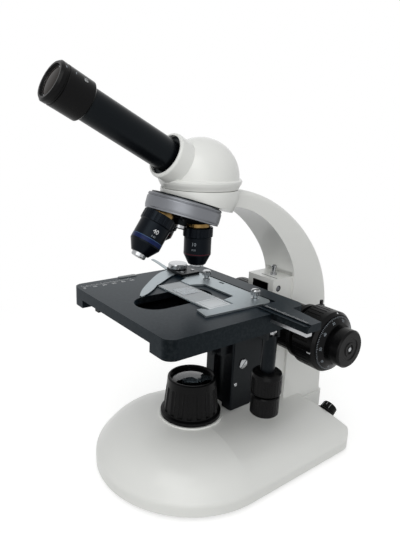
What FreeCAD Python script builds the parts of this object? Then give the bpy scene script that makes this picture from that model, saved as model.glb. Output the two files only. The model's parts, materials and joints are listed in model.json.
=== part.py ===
"""Student microscope: every separate piece as its own solid, in millimetres.

The origin is on the table under the optical axis. Z points up along that axis,
the user sits on the -Y side and the arm stands on the +Y side.
"""
import FreeCAD, Part
import math
import os

# Running and seating clearances
RUN = 0.08
SLIDE_FIT = 0.12
AIR = 0.4
SEAT = 0.02

# Base casting
FOOT_HEIGHT = 4.0
FOOT_RADIUS = 8.0
BASE_HALF_WIDTH = 90.5
BASE_REAR = 149.0
BASE_REAR_CORNER = 22.0
BASE_WALL = 3.5
BASE_RIM = 12.0
BASE_CROWN = 48.0
BASE_SADDLE = 41.0
BASE_SADDLE_AT = 50.0
BASE_REAR_CROWN = 33.0
DOME_POWER = 3.0
DOME_ROUNDING = 0.72
REAR_SLOPE_FOOT = 14.0
REAR_SLOPE_RUN = 12.5
REAR_SLOPE_RISE = 18.5
PLATE_THICKNESS = 1.5
PLATE_INSET = 5.0
FRONT_FOOT_X = BASE_HALF_WIDTH - 14.5
FRONT_FOOT_Y = -16.0
REAR_FOOT_X = BASE_HALF_WIDTH - 16.5
REAR_FOOT_Y = BASE_REAR - 23.0
FOOT_SCREW_RADIUS = 2.0
FOOT_BOSS_RADIUS = 5.5

# Pedestal and arm
ARM_HALF_WIDTH = 20.5
COLUMN_FRONT = 111.0
COLUMN_FOOT_REAR = 176.0
SEAM_HEIGHT = 27.0
PEDESTAL_SIDE = 1.5
PEDESTAL_WEB = 7.0
ARM_BOLT_X = 12.0
ARM_BOLT_FRONT = 126.0
ARM_BOLT_REAR = 161.0
ARM_BOLT_RADIUS = 3.0
ARM_BOLT_HEAD = 5.0
ARM_BOLT_DEPTH = 18.0
ARM_EDGE_ROUNDING = 5.0

# Objective seat, and the head seat at the top of the arm
SEAT_HEIGHT = 236.0
HEAD_SEAT = SEAT_HEIGHT + 28.6
BOWL_RADIUS = 34.0
BOWL_CENTRE = HEAD_SEAT - 2.6
LIGHT_BORE = 9.0
SPIGOT_RADIUS = 24.0
SPIGOT_LENGTH = 4.0

# Head and eyepiece tube
AXIS_CROSSING = HEAD_SEAT + 9.0
TUBE_ELEVATION = 27.2
DOME_RADIUS = 33.5
DOME_WALL = 4.0
COLLAR_RADIUS = 36.0
COLLAR_TOP = HEAD_SEAT + 8.9
SOCKET_RADIUS = 19.4
SOCKET_MOUTH = 16.9
SOCKET_RECESS = 6.0
SOCKET_END = 41.8
TUBE_RADIUS = 13.4
TUBE_TIP_RADIUS = 12.6
TUBE_WALL = 1.4
TUBE_START = 25.0
EYE_SHOULDER = 120.0
EYE_END = 148.0
EYE_RADIUS = 15.4
EYE_SLEEVE_RADIUS = 11.6
EYE_SLEEVE_LENGTH = 26.0
EYE_LENS_RADIUS = 9.0
PRISM_HALF = 9.0

# Nosepiece and objectives
NOSE_TILT = 17.0
PORT_CIRCLE = 19.5
PORT_COUNT = 4
PORT_THREAD_RADIUS = 10.1
PORT_BOSS_RADIUS = 12.6
RING_RADIUS = 32.5
RING_BOTTOM = -1.0
RING_TOP = 12.6
TURRET_RADIUS = 31.0
TURRET_TOP = 9.0
HUB_BOTTOM = -8.0
MOUNT_BOTTOM = 10.0
MOUNT_TOP = 14.0
MOUNT_RADIUS = 29.5
PIVOT_RADIUS = 4.5
OBJECTIVE_COLLAR = 5.2
COLLAR_SHOULDER = 10.6

# Focus housing, slide and drive
HOUSING_HALF_WIDTH = 18.0
HOUSING_FRONT = 83.6
HOUSING_TOP = 172.7
HOUSING_BOTTOM = 62.0
WAY_TOP = 168.0
WAY_HALF_WIDTH = 12.5
WAY_LIP = 3.0
WAY_FLARE = 1.8
SLIDE_DEPTH = 8.0
FOCUS_UP = 21.5
SLIDE_BOTTOM = 60.5
FOCUS_AXIS_Y = 101.0
FOCUS_AXIS_Z = 126.4
RACK_MODULE = 1.0
PINION_TEETH = 12
RACK_WIDTH = 9.0
COARSE_SHAFT_RADIUS = 4.0
FINE_SHAFT_RADIUS = 2.0
BUSH_RADIUS = 7.4
TENSION_RADIUS = 24.0
TENSION_START = 22.2
TENSION_END = 47.0
LOCK_RADIUS = 27.0
LOCK_WIDTH = 4.5
COARSE_RADIUS = 29.4
COARSE_LENGTH = 27.0
COARSE_RIGHT_START = 55.5
COARSE_LEFT_START = -25.0
DIAL_RADIUS = 26.2
FINE_RADIUS = 18.0
FINE_LENGTH = 11.0
FINE_NECK = 7.5

# Stage
STAGE_LEFT = -80.5
STAGE_RIGHT = 74.0
STAGE_FRONT = -82.0
STAGE_REAR = 65.5
STAGE_TOP = 168.3
STAGE_THICKNESS = 6.0
STAGE_LIP = 9.5
STAGE_SKIRT = 17.0
STAGE_CORNER = 9.0
SKIRT_WALL = 6.0
CORNER_BLOCK_LEFT = 19.5
CORNER_BLOCK_RIGHT = 24.0
CORNER_BLOCK_DEPTH = 16.0
STAGE_HOLE_HALF = 17.5
STAGE_HOLE_FRONT = -62.0
STAGE_HOLE_REAR = 15.0
Y_FORWARD = 7.0
Y_BACK = 16.0
LOWER_PLATE_THICKNESS = 5.0
LOWER_PLATE_HALF = 44.0
LOWER_PLATE_FRONT = -52.0
LOWER_PLATE_BEVEL = 2.2
GUIDE_WIDTH = 6.0
BRACKET_HALF_WIDTH = 20.0
BRACKET_FRONT = 33.5
BRACKET_BOTTOM = 46.5
BRACKET_WALL = 7.0
BRACKET_BACK = 79.5

# Crosswise bar and slide holder
BAR_LEFT = -76.0
BAR_RIGHT = 112.5
BAR_FRONT = 22.0
BAR_REAR = 48.5
BAR_REAR_AT_END = 38.5
BAR_TOP = 170.6
BAR_STEP_TOP = 168.7
BAR_KEEL = 4.4
BAR_DOVETAIL = 1.6
HOLDER_THICKNESS = 1.5
FINGER_THICKNESS = 1.0
BRIDGE_THICKNESS = 2.2
RAIL_THICKNESS = 3.0
SLIDE_LENGTH = 76.0
SLIDE_WIDTH = 26.0
SLIDE_THICKNESS = 1.1
SLIDE_X = 3.8
SLIDE_Y = -4.7
FINGER_PIVOT_X = -66.0
FINGER_PIVOT_Y = 28.0
THUMB_SCREW_LEFT_X = -26.5
THUMB_SCREW_LEFT_Y = 34.5
THUMB_SCREW_RIGHT_X = 43.0
THUMB_SCREW_RIGHT_Y = 33.5

# Coaxial stage drive
DRIVE_X = 64.0
DRIVE_Y = 34.0
DRIVE_MODULE = 0.8
DRIVE_TEETH = 12
DRIVE_HOUSING_RADIUS = 6.5
DRIVE_TUBE_RADIUS = 4.0
DRIVE_SHAFT_RADIUS = 2.2
Y_KNOB_TOP = 109.0
Y_KNOB_BOTTOM = 88.5
Y_KNOB_RADIUS = 14.0
X_KNOB_TOP = 86.5
X_KNOB_BOTTOM = 68.0
X_KNOB_RADIUS = 13.0

# Condenser
CONDENSER_RADIUS = 17.0
CONDENSER_TOP = 155.2
CONDENSER_BOTTOM = 128.0
CONDENSER_BORE = 12.0

# Lamp
LAMP_SEAT = 48.4
LAMP_FLANGE_RADIUS = 29.1
LAMP_RIM_RADIUS = 23.2
LAMP_TOP = 86.8
LAMP_LENS_RADIUS = 19.8
LAMP_WIRE_RADIUS = 4.0
LAMP_BOARD_RADIUS = 15.0

# Brightness knob, switch and socket on the rear slope
DIMMER_X = 53.5
DIMMER_RADIUS = 8.5
DIMMER_SKIRT_RADIUS = 10.0
DIMMER_HEIGHT = 11.0
DIMMER_SHAFT_RADIUS = 3.0
SWITCH_X = -46.0
SWITCH_LENGTH = 21.0
SWITCH_WIDTH = 13.0
SWITCH_WALL = 1.2
ROCKER_PIN_RADIUS = 0.9
ROCKER_PIN_DEPTH = -1.0
POWER_X = -66.0
POWER_RADIUS = 5.0

BASE_BOTTOM = FOOT_HEIGHT
PLATE_TOP = BASE_BOTTOM + 0.2 + PLATE_THICKNESS
PINION_PITCH = RACK_MODULE * PINION_TEETH / 2.0
DRIVE_PITCH = DRIVE_MODULE * DRIVE_TEETH / 2.0
UP = FreeCAD.Vector(0, 0, 1)


def vec(x, y, z):
    """Return a point or direction."""
    return FreeCAD.Vector(x, y, z)


class Outline:
    """Closed outline in one plane, drawn from straight runs, arcs and curves."""

    def __init__(self, plane, level, u, v):
        self.plane = plane
        self.level = level
        self.start = self.point(u, v)
        self.last = self.start
        self.edges = []

    def point(self, u, v):
        if self.plane == "xy":
            return vec(u, v, self.level)
        if self.plane == "yz":
            return vec(self.level, u, v)
        return vec(u, self.level, v)

    def line(self, u, v):
        end = self.point(u, v)
        self.edges.append(Part.makeLine(self.last, end))
        self.last = end
        return self

    def arc(self, mid_u, mid_v, u, v):
        end = self.point(u, v)
        self.edges.append(Part.Arc(self.last, self.point(mid_u, mid_v), end).toShape())
        self.last = end
        return self

    def curve(self, points):
        curve = Part.BSplineCurve()
        through = [self.last] + [self.point(u, v) for u, v in points]
        curve.interpolate(Points=through)
        self.edges.append(curve.toShape())
        self.last = through[-1]
        return self

    def face(self):
        if self.last.distanceToPoint(self.start) > 1e-6:
            self.edges.append(Part.makeLine(self.last, self.start))
        return Part.Face(Part.Wire(self.edges))


def polygon(plane, level, points):
    """Return the face of a straight-sided outline."""
    outline = Outline(plane, level, points[0][0], points[0][1])
    for u, v in points[1:]:
        outline.line(u, v)
    return outline.face()


def block(x0, x1, y0, y1, z0, z1):
    """Return a box between two opposite corners."""
    return Part.makeBox(x1 - x0, y1 - y0, z1 - z0, vec(x0, y0, z0))


def rod(radius, z0, z1, x=0.0, y=0.0):
    """Return a vertical cylinder."""
    return Part.makeCylinder(radius, z1 - z0, vec(x, y, z0))


def cross_rod(radius, x0, x1, y, z):
    """Return a cylinder along X."""
    return Part.makeCylinder(radius, x1 - x0, vec(x0, y, z), vec(1, 0, 0))


def turned(points):
    """Revolve an outline of (radius, height) points about Z."""
    face = polygon("xz", 0.0, points)
    return face.revolve(vec(0, 0, 0), UP, 360)


def turned_x(points, y, z):
    """Revolve (x, radius) points about an axis parallel to X."""
    face = polygon("xz", 0.0, points)
    solid = face.revolve(vec(0, 0, 0), vec(1, 0, 0), 360)
    solid.translate(vec(0, y, z))
    return solid


def is_upright(edge):
    """Tell whether an edge is straight and runs along Z."""
    a = edge.Vertexes[0].Point
    b = edge.Vertexes[-1].Point
    return abs(a.x - b.x) < 1e-6 and abs(a.y - b.y) < 1e-6 and abs(a.z - b.z) > 1e-6


def rounded(shape, radius, chooser):
    """Fillet the edges that the chooser picks."""
    edges = [edge for edge in shape.Edges if chooser(edge)]
    return shape.makeFillet(radius, edges)


def rounded_block(x0, x1, y0, y1, z0, z1, radius):
    """Return a box with rounded upright edges."""
    return rounded(block(x0, x1, y0, y1, z0, z1), radius, is_upright)


def aimed(shape, origin, direction):
    """Turn a shape's +Z to a direction and move its origin to a point."""
    placed = shape.copy()
    turn = FreeCAD.Rotation(UP, direction)
    placed.Placement = FreeCAD.Placement(origin, turn).multiply(placed.Placement)
    return placed


def fluted(shape, count, radius, groove, z0, z1, x=0.0, y=0.0):
    """Cut grip grooves round an upright knob."""
    cuts = []
    for index in range(count):
        angle = 2.0 * math.pi * index / count
        cuts.append(rod(groove, z0, z1, x + radius * math.cos(angle), y + radius * math.sin(angle)))
    return shape.cut(cuts)


def lens(radius, z0, z1, rise):
    """Return a lens with a flat lower face and a domed upper face."""
    ball = (radius ** 2 + rise ** 2) / (2.0 * rise)
    blank = rod(radius, z0, z1 + rise)
    return blank.common(Part.makeSphere(ball, vec(0, 0, z1 + rise - ball)))


def save(name, shape):
    """Write one piece, or one group of like pieces, to its file."""
    solids = shape.Solids
    result = solids[0] if len(solids) == 1 else Part.makeCompound(solids)
    result.exportStep(os.path.join("parts", name + ".step"))


# Base

def dome_curve_points(half_width, rim, crown):
    """Return (offset, height) points from the crown to the rim."""
    points = []
    for share in (0.0, 0.3, 0.55, 0.75, 0.9, 0.97, 1.0):
        height = rim + (crown - rim) * (1.0 - share ** DOME_POWER) ** DOME_ROUNDING
        points.append((share * half_width, height))
    return points


def dome_edge(side, y, half_width, rim, crown):
    """Return the top curve of one half section at the given depth."""
    through = [vec(side * u, y, v) for u, v in dome_curve_points(half_width, rim, crown)]
    curve = Part.BSplineCurve()
    curve.interpolate(Points=through, InitialTangent=vec(side, 0, 0), FinalTangent=vec(0, 0, -1))
    return curve.toShape()


def dome_section(y, half_width, rim, crown, bottom):
    """Return one closed cross-section wire of the base."""
    right = dome_edge(1.0, y, half_width, rim, crown)
    left = dome_edge(-1.0, y, half_width, rim, crown)
    corners = [vec(half_width, y, rim), vec(half_width, y, bottom)]
    corners += [vec(-half_width, y, bottom), vec(-half_width, y, rim)]
    edges = [right]
    for start, end in zip(corners, corners[1:]):
        edges.append(Part.makeLine(start, end))
    edges.append(left)
    return Part.Wire(Part.__sortEdges__(edges))


def base_form(inset, bottom):
    """Return the solid form of the base, shrunk by an inset."""
    half_width = BASE_HALF_WIDTH - inset
    rim = BASE_RIM - inset * 0.5
    crown = BASE_CROWN - inset
    top = dome_edge(1.0, 0.0, half_width, rim, crown)
    side = Part.makeLine(vec(half_width, 0, rim), vec(half_width, 0, bottom))
    floor = Part.makeLine(vec(half_width, 0, bottom), vec(0, 0, bottom))
    axis = Part.makeLine(vec(0, 0, bottom), vec(0, 0, crown))
    half = Part.Face(Part.Wire([top, side, floor, axis]))
    front = half.revolve(vec(0, 0, 0), vec(0, 0, -1), 180)
    rear = BASE_REAR - inset
    stations = [(0.0, crown), (BASE_SADDLE_AT, BASE_SADDLE - inset)]
    stations += [(0.5 * (BASE_SADDLE_AT + rear), 0.5 * (BASE_SADDLE + BASE_REAR_CROWN) - inset - 0.5)]
    stations += [(rear, BASE_REAR_CROWN - inset)]
    sections = [dome_section(y, half_width, rim, height, bottom) for y, height in stations]
    back = Part.makeLoft(sections, True, False)
    plan = block(-half_width, half_width, -half_width, rear, bottom, BASE_CROWN)
    corner = max(BASE_REAR_CORNER - inset, 1.0)
    plan = rounded(plan, corner, lambda edge: is_upright(edge) and edge.Vertexes[0].Point.y > 0)
    slope = Outline("yz", -half_width, -half_width, bottom)
    slope.line(rear, bottom)
    slope.line(rear, REAR_SLOPE_FOOT - inset * 0.5)
    slope.line(rear - REAR_SLOPE_RUN, REAR_SLOPE_FOOT + REAR_SLOPE_RISE - inset)
    slope.line(rear - REAR_SLOPE_RUN - 25.0, BASE_CROWN)
    slope.line(-half_width, BASE_CROWN)
    side_form = slope.face().extrude(vec(2.0 * half_width, 0, 0))
    back = back.common(plan).common(side_form)
    return front.fuse(back)


def foot_places():
    """Return the four foot centres."""
    places = []
    for side in (-1.0, 1.0):
        places.append((side * FRONT_FOOT_X, FRONT_FOOT_Y))
        places.append((side * REAR_FOOT_X, REAR_FOOT_Y))
    return places


def arm_bolt_places():
    """Return the centres of the four bolts that hold the arm."""
    places = []
    for side in (-1.0, 1.0):
        places.append((side * ARM_BOLT_X, ARM_BOLT_FRONT))
        places.append((side * ARM_BOLT_X, ARM_BOLT_REAR))
    return places


def slope_direction():
    """Return the outward normal of the rear slope."""
    direction = vec(0, REAR_SLOPE_RISE, REAR_SLOPE_RUN)
    return direction.normalize()


def slope_point(x):
    """Return the middle of the rear slope at one side position."""
    return vec(x, BASE_REAR - 0.5 * REAR_SLOPE_RUN, REAR_SLOPE_FOOT + 0.5 * REAR_SLOPE_RISE)


def pedestal():
    """Return the hollow block that carries the arm."""
    half = ARM_HALF_WIDTH + PEDESTAL_SIDE
    rear = COLUMN_FOOT_REAR + PEDESTAL_SIDE
    front = COLUMN_FRONT - BASE_WALL
    outer = block(-half, half, front, rear, BASE_BOTTOM, SEAM_HEIGHT)
    outer = rounded(outer, ARM_EDGE_ROUNDING, lambda e: is_upright(e) and e.Vertexes[0].Point.y > BASE_REAR)
    hollow = block(-half + BASE_WALL, half - BASE_WALL, front + BASE_WALL, rear - BASE_WALL,
                   BASE_BOTTOM - 1.0, SEAM_HEIGHT - PEDESTAL_WEB)
    return outer, hollow


def make_base_shell():
    """Cast base: a domed open shell with bosses, pedestal and seats."""
    shell = base_form(0.0, BASE_BOTTOM)
    cavity = base_form(BASE_WALL, BASE_BOTTOM - 1.0)
    stand, hollow = pedestal()
    shell = shell.cut(cavity)
    pad = rod(LAMP_FLANGE_RADIUS + 1.4, BASE_CROWN - BASE_WALL - 1.0, LAMP_SEAT)
    bosses = [pad, stand]
    room = base_form(1.0, BASE_BOTTOM)
    for x, y in foot_places():
        bosses.append(rod(FOOT_BOSS_RADIUS, PLATE_TOP, BASE_CROWN, x, y).common(room))
    shell = shell.fuse(bosses)
    foot_pocket = block(-ARM_HALF_WIDTH - SLIDE_FIT, ARM_HALF_WIDTH + SLIDE_FIT, COLUMN_FRONT - SLIDE_FIT,
                        COLUMN_FOOT_REAR + 20.0, SEAM_HEIGHT, BASE_CROWN + 1.0)
    half = ARM_HALF_WIDTH + PEDESTAL_SIDE - BASE_WALL
    gate = block(-half, half, COLUMN_FRONT - BASE_WALL - 1.0, COLUMN_FRONT + 1.0, 0.0, PLATE_TOP + AIR)
    cuts = [hollow, gate, foot_pocket, rod(LAMP_WIRE_RADIUS, SEAM_HEIGHT, LAMP_SEAT + 1.0)]
    for x, y in foot_places():
        cuts.append(rod(FOOT_SCREW_RADIUS, 0.0, BASE_RIM + 5.0, x, y))
    for x, y in arm_bolt_places():
        cuts.append(rod(ARM_BOLT_RADIUS + RUN, 0.0, SEAM_HEIGHT + 1.0, x, y))
    normal = slope_direction()
    cuts.append(aimed(rod(DIMMER_SHAFT_RADIUS + RUN, -12.0, 12.0), slope_point(DIMMER_X), normal))
    cuts.append(aimed(rod(POWER_RADIUS + RUN, -12.0, 12.0), slope_point(POWER_X), normal))
    cuts.append(aimed(switch_box(0.1, -12.0, 12.0), slope_point(SWITCH_X), normal))
    return shell.cut(cuts)


def switch_box(grow, z0, z1):
    """Return the rectangle that the switch fills, in its own frame."""
    half_l = 0.5 * SWITCH_LENGTH - 2.0 + grow
    half_w = 0.5 * SWITCH_WIDTH - 1.0 + grow
    return block(-half_l, half_l, -half_w, half_w, z0, z1)


def make_base_plate():
    """Sheet cover under the base, with vent slots and screw holes."""
    half = BASE_HALF_WIDTH - PLATE_INSET
    rear = BASE_REAR - PLATE_INSET
    bottom = PLATE_TOP - PLATE_THICKNESS
    outline = Outline("xy", bottom, half, 0.0)
    outline.arc(0.0, -half, -half, 0.0)
    outline.line(-half, rear)
    outline.line(half, rear)
    plate = outline.face().extrude(vec(0, 0, PLATE_THICKNESS))
    plate = rounded(plate, BASE_REAR_CORNER - PLATE_INSET,
                    lambda edge: is_upright(edge) and edge.Vertexes[0].Point.y > 1.0)
    side = ARM_HALF_WIDTH + PEDESTAL_SIDE + AIR
    cuts = [block(-side, side, COLUMN_FRONT - BASE_WALL - AIR, rear + 1.0, 0.0, PLATE_TOP + 1.0)]
    for x, y in foot_places():
        cuts.append(rod(FOOT_SCREW_RADIUS, 0.0, PLATE_TOP + 1.0, x, y))
    for index in range(7):
        x = -30.0 + 10.0 * index
        cuts.append(rounded_block(x - 1.5, x + 1.5, 62.0, 84.0, 0.0, PLATE_TOP + 1.0, 1.4))
    half = ARM_HALF_WIDTH + PEDESTAL_SIDE - BASE_WALL - AIR
    end = COLUMN_FOOT_REAR + PEDESTAL_SIDE - BASE_WALL - AIR
    tongue = block(-half, half, COLUMN_FRONT - BASE_WALL - AIR - 3.0, end, bottom, PLATE_TOP)
    return plate.cut(cuts).fuse(tongue).removeSplitter()


def make_feet():
    """Four rubber feet, each with a recess for its screw head."""
    feet = []
    top = PLATE_TOP - PLATE_THICKNESS
    for x, y in foot_places():
        foot = turned([(FOOT_SCREW_RADIUS + 0.1, 1.8), (4.2, 1.8), (4.2, 0.0), (FOOT_RADIUS - 1.2, 0.0),
                       (FOOT_RADIUS, 1.2), (FOOT_RADIUS, top), (FOOT_SCREW_RADIUS + 0.1, top)])
        foot.translate(vec(x, y, 0))
        feet.append(foot)
    return Part.makeCompound(feet)


def make_foot_screws():
    """Four screws that hold the feet and the cover to the base."""
    screws = []
    for x, y in foot_places():
        head = rod(3.8, 0.5, 1.8, x, y)
        shank = rod(FOOT_SCREW_RADIUS - RUN, 1.8, BASE_RIM + 4.0, x, y)
        screws.append(head.fuse(shank))
    return Part.makeCompound(screws)


# Arm

def arm_height(share):
    """Return a height between the top of the focus housing and the head seat."""
    return HOUSING_TOP + share * (HEAD_SEAT - HOUSING_TOP)


def light_hole():
    """Return the bore for the light through the top of the arm."""
    return rod(LIGHT_BORE, SEAT_HEIGHT - 30.0, HEAD_SEAT + 30.0)


def make_arm():
    """Cast arm: foot, column, swept curve and the bowl under the head."""
    half = ARM_HALF_WIDTH
    side = Outline("yz", -half, COLUMN_FRONT, SEAM_HEIGHT)
    side.line(COLUMN_FRONT, HOUSING_TOP)
    inner = [(104.6, 0.19), (92.4, 0.383), (74.1, 0.5865), (46.9, 0.7715), (20.0, 0.8357)]
    side.curve([(y, arm_height(share)) for y, share in inner])
    side.line(8.0, arm_height(0.863))
    side.line(8.0, HEAD_SEAT)
    side.line(26.0, HEAD_SEAT)
    outer = [(64.9, 0.8955), (113.3, 0.5887), (149.5, 0.161), (168.0, -0.378)]
    side.curve([(y, arm_height(share)) for y, share in outer])
    side.line(COLUMN_FOOT_REAR, SEAM_HEIGHT)
    arm = side.face().extrude(vec(2.0 * half, 0, 0))
    bowl = Part.makeSphere(BOWL_RADIUS, vec(0, 0, BOWL_CENTRE))
    keep = rod(BOWL_RADIUS + 2.0, BOWL_CENTRE - BOWL_RADIUS, HEAD_SEAT)
    bowl = bowl.common(keep)
    arm = rounded(arm, ARM_EDGE_ROUNDING, is_rear_arm_edge)
    arm = arm.fuse(bowl)
    below = to_nose(rod(60.0, MOUNT_TOP - 60.0, MOUNT_TOP))
    cuts = [below.common(rod(BOWL_RADIUS + 8.0, SEAT_HEIGHT - 36.0, HEAD_SEAT, 0.0, -6.0)), light_hole()]
    cuts.append(rod(SPIGOT_RADIUS + RUN, HEAD_SEAT - SPIGOT_LENGTH - AIR, HEAD_SEAT + 1.0))
    slot = HOUSING_HALF_WIDTH - 0.5
    cuts.append(block(-slot, slot, COLUMN_FRONT - 3.0, COLUMN_FRONT + 5.0, HOUSING_TOP - 0.6,
                      HOUSING_TOP + 4.0))
    for x, y in arm_bolt_places():
        cuts.append(rod(ARM_BOLT_RADIUS, SEAM_HEIGHT - 1.0, SEAM_HEIGHT + ARM_BOLT_DEPTH + 2.0, x, y))
    return arm.cut(cuts)


def is_rear_arm_edge(edge):
    """Pick the two long outer edges down the back of the arm."""
    box = edge.BoundBox
    flat = box.XLength < 1e-6 and abs(abs(box.Center.x) - ARM_HALF_WIDTH) < 1e-6
    return flat and box.YMax > COLUMN_FRONT + 20.0 and box.ZLength > 20.0


def make_arm_bolts():
    """Four bolts from inside the pedestal into the foot of the arm."""
    bolts = []
    under = SEAM_HEIGHT - PEDESTAL_WEB
    for x, y in arm_bolt_places():
        head = rod(ARM_BOLT_HEAD, under - 6.0, under, x, y)
        shank = rod(ARM_BOLT_RADIUS - RUN, under, SEAM_HEIGHT + ARM_BOLT_DEPTH, x, y)
        bolts.append(head.fuse(shank))
    return Part.makeCompound(bolts)


# Nosepiece frame

def nose_centre():
    """Return the centre of the port circle."""
    tilt = math.radians(NOSE_TILT)
    reach = PORT_CIRCLE / math.sin(tilt)
    y = -reach * math.cos(tilt) * math.sin(tilt)
    z = SEAT_HEIGHT + reach - reach * math.cos(tilt) ** 2
    return vec(0, y, z)


def to_nose(shape):
    """Place a shape drawn about the nosepiece axis."""
    tilt = math.radians(NOSE_TILT)
    return aimed(shape, nose_centre(), vec(0, math.sin(tilt), math.cos(tilt)))


def to_port(shape, index):
    """Place a shape drawn hanging from a port seat down its own -Z."""
    angle = 2.0 * math.pi * index / PORT_COUNT + math.pi / 2.0
    tilt = math.radians(NOSE_TILT)
    out = vec(math.cos(angle), math.sin(angle), 0)
    rise = vec(-math.sin(tilt) * out.x, -math.sin(tilt) * out.y, math.cos(tilt))
    local = aimed(shape, vec(PORT_CIRCLE * out.x, PORT_CIRCLE * out.y, 0), rise)
    return to_nose(local)


def make_nose_mount():
    """Fixed disc under the bowl that carries the turret pivot."""
    disc = turned([(PIVOT_RADIUS - 1.5, MOUNT_BOTTOM), (MOUNT_RADIUS - 2.0, MOUNT_BOTTOM),
                   (MOUNT_RADIUS, MOUNT_BOTTOM + 1.5), (MOUNT_RADIUS, MOUNT_TOP - SEAT),
                   (PIVOT_RADIUS - 1.5, MOUNT_TOP - SEAT)])
    disc = to_nose(disc)
    return disc.cut(light_hole())


def make_nose_pivot():
    """Pivot screw of the turret, with its shoulder and head."""
    head = HUB_BOTTOM - 0.2
    neck = PIVOT_RADIUS - 1.55
    screw = turned([(0.0, head - 3.2), (4.4, head - 3.2), (5.6, head - 2.2), (5.6, head),
                    (PIVOT_RADIUS, head),
                    (PIVOT_RADIUS, MOUNT_BOTTOM - SEAT), (neck, MOUNT_BOTTOM - SEAT), (neck, MOUNT_TOP - 0.5),
                    (0.0, MOUNT_TOP - 0.5)])
    return to_nose(screw)


def make_nose_ring():
    """Bright grip ring of the turret."""
    inner = TURRET_RADIUS + SEAT
    lip = RING_RADIUS - 0.5
    ring = turned([(inner, RING_BOTTOM), (lip - 0.3, RING_BOTTOM), (lip, RING_BOTTOM + 0.3),
                   (lip, RING_BOTTOM + 1.4), (RING_RADIUS - 0.2, RING_BOTTOM + 2.0),
                   (RING_RADIUS, RING_BOTTOM + 3.2), (RING_RADIUS, RING_TOP - 4.0),
                   (RING_RADIUS - 0.2, RING_TOP - 3.0), (lip - 0.2, RING_TOP - 2.6),
                   (lip - 0.2, RING_TOP - 2.1),
                   (RING_RADIUS - 0.3, RING_TOP - 1.8), (RING_RADIUS - 0.4, RING_TOP - 0.8),
                   (RING_RADIUS - 1.0, RING_TOP), (inner, RING_TOP)])
    ring = to_nose(ring)
    notch = rod(COLLAR_SHOULDER + AIR, -10.0, SEAT)
    return ring.cut([to_port(notch, index) for index in range(PORT_COUNT)])


def make_turret():
    """Turret plate with one tilted seat and threaded hole for each objective."""
    slope = math.tan(math.radians(NOSE_TILT))
    hub = 8.0
    plate = turned([(PIVOT_RADIUS + RUN, HUB_BOTTOM), (hub - 1.8, HUB_BOTTOM), (hub - 0.6, HUB_BOTTOM + 3.8),
                    (hub, (hub - PORT_CIRCLE) * slope + 0.4),
                    (TURRET_RADIUS, (TURRET_RADIUS - PORT_CIRCLE) * slope + 0.4),
                    (TURRET_RADIUS, TURRET_TOP), (PIVOT_RADIUS + RUN, TURRET_TOP)])
    plate = to_nose(plate)
    room = to_nose(rod(TURRET_RADIUS, -20.0, TURRET_TOP))
    for index in range(PORT_COUNT):
        boss = to_port(rod(PORT_BOSS_RADIUS, 0.0, 5.0), index)
        plate = plate.fuse(boss.common(room))
    for index in range(PORT_COUNT):
        plate = plate.cut(to_port(rod(PORT_THREAD_RADIUS, -3.0, 30.0), index))
    return plate


class Objective:
    """One objective: collar, black barrel and bright nose, hanging from its seat."""

    def __init__(self, length, barrel_radius, grip_end, taper_start, nose_radius, nose_length):
        self.length = length
        self.barrel_radius = barrel_radius
        self.grip_end = grip_end
        self.taper_start = taper_start
        self.nose_radius = nose_radius
        self.nose_length = nose_length

    def collar(self):
        """Threaded stub and brass shoulder."""
        return turned([(7.0, 4.0), (PORT_THREAD_RADIUS - RUN, 4.0), (PORT_THREAD_RADIUS - RUN, -SEAT),
                       (COLLAR_SHOULDER, -SEAT), (COLLAR_SHOULDER, -OBJECTIVE_COLLAR + 0.5),
                       (COLLAR_SHOULDER - 0.5, -OBJECTIVE_COLLAR), (7.0, -OBJECTIVE_COLLAR)])

    def barrel(self):
        """Knurled grip, plain barrel and taper, hollow for the lenses."""
        start = -OBJECTIVE_COLLAR - SEAT
        nose = -(self.length - self.nose_length)
        shoulder_radius = self.nose_radius + 1.6
        grip = self.barrel_radius + 1.0
        shape = turned([(6.0, start), (grip - 0.5, start), (grip, start - 0.5), (grip, -self.grip_end),
                        (self.barrel_radius, -self.grip_end - 0.8), (self.barrel_radius, -self.taper_start),
                        (shoulder_radius, nose), (self.nose_radius - 2.0, nose),
                        (self.nose_radius - 2.0, nose + 4.0), (6.0, nose + 8.0)])
        return fluted(shape, 24, grip + 0.3, 0.7, -self.grip_end, start)

    def nose(self):
        """Bright front cap round the front lens."""
        top = -(self.length - self.nose_length)
        return turned([(2.2, top - SEAT), (self.nose_radius, top - SEAT),
                       (self.nose_radius, -self.length + 0.7),
                       (self.nose_radius - 0.7, -self.length), (2.2, -self.length)])


def objectives():
    """Return the three objectives with their port numbers."""
    low = Objective(length=27.0, barrel_radius=12.2, grip_end=12.0, taper_start=20.0, nose_radius=7.0,
                    nose_length=2.4)
    middle = Objective(length=41.0, barrel_radius=12.2, grip_end=13.4, taper_start=29.7, nose_radius=6.3,
                       nose_length=2.4)
    high = Objective(length=44.0, barrel_radius=13.2, grip_end=13.4, taper_start=32.0, nose_radius=6.2,
                     nose_length=3.4)
    return {"4x": (low, 1), "10x": (middle, 0), "40x": (high, 2)}


def make_port_plug():
    """Dust plug in the free port."""
    plug = turned([(0.0, -2.0), (10.5, -2.0), (11.2, -1.3), (11.2, -SEAT), (PORT_THREAD_RADIUS - RUN, -SEAT),
                   (PORT_THREAD_RADIUS - RUN, 3.0), (0.0, 3.0)])
    return to_port(plug, 3)


# Head

def tube_direction():
    """Return the direction of the eyepiece tube, towards the user and up."""
    rise = math.radians(TUBE_ELEVATION)
    return vec(0, -math.cos(rise), math.sin(rise))


def to_tube(shape):
    """Place a shape drawn about the eyepiece tube axis."""
    return aimed(shape, vec(0, 0, AXIS_CROSSING), tube_direction())


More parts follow.
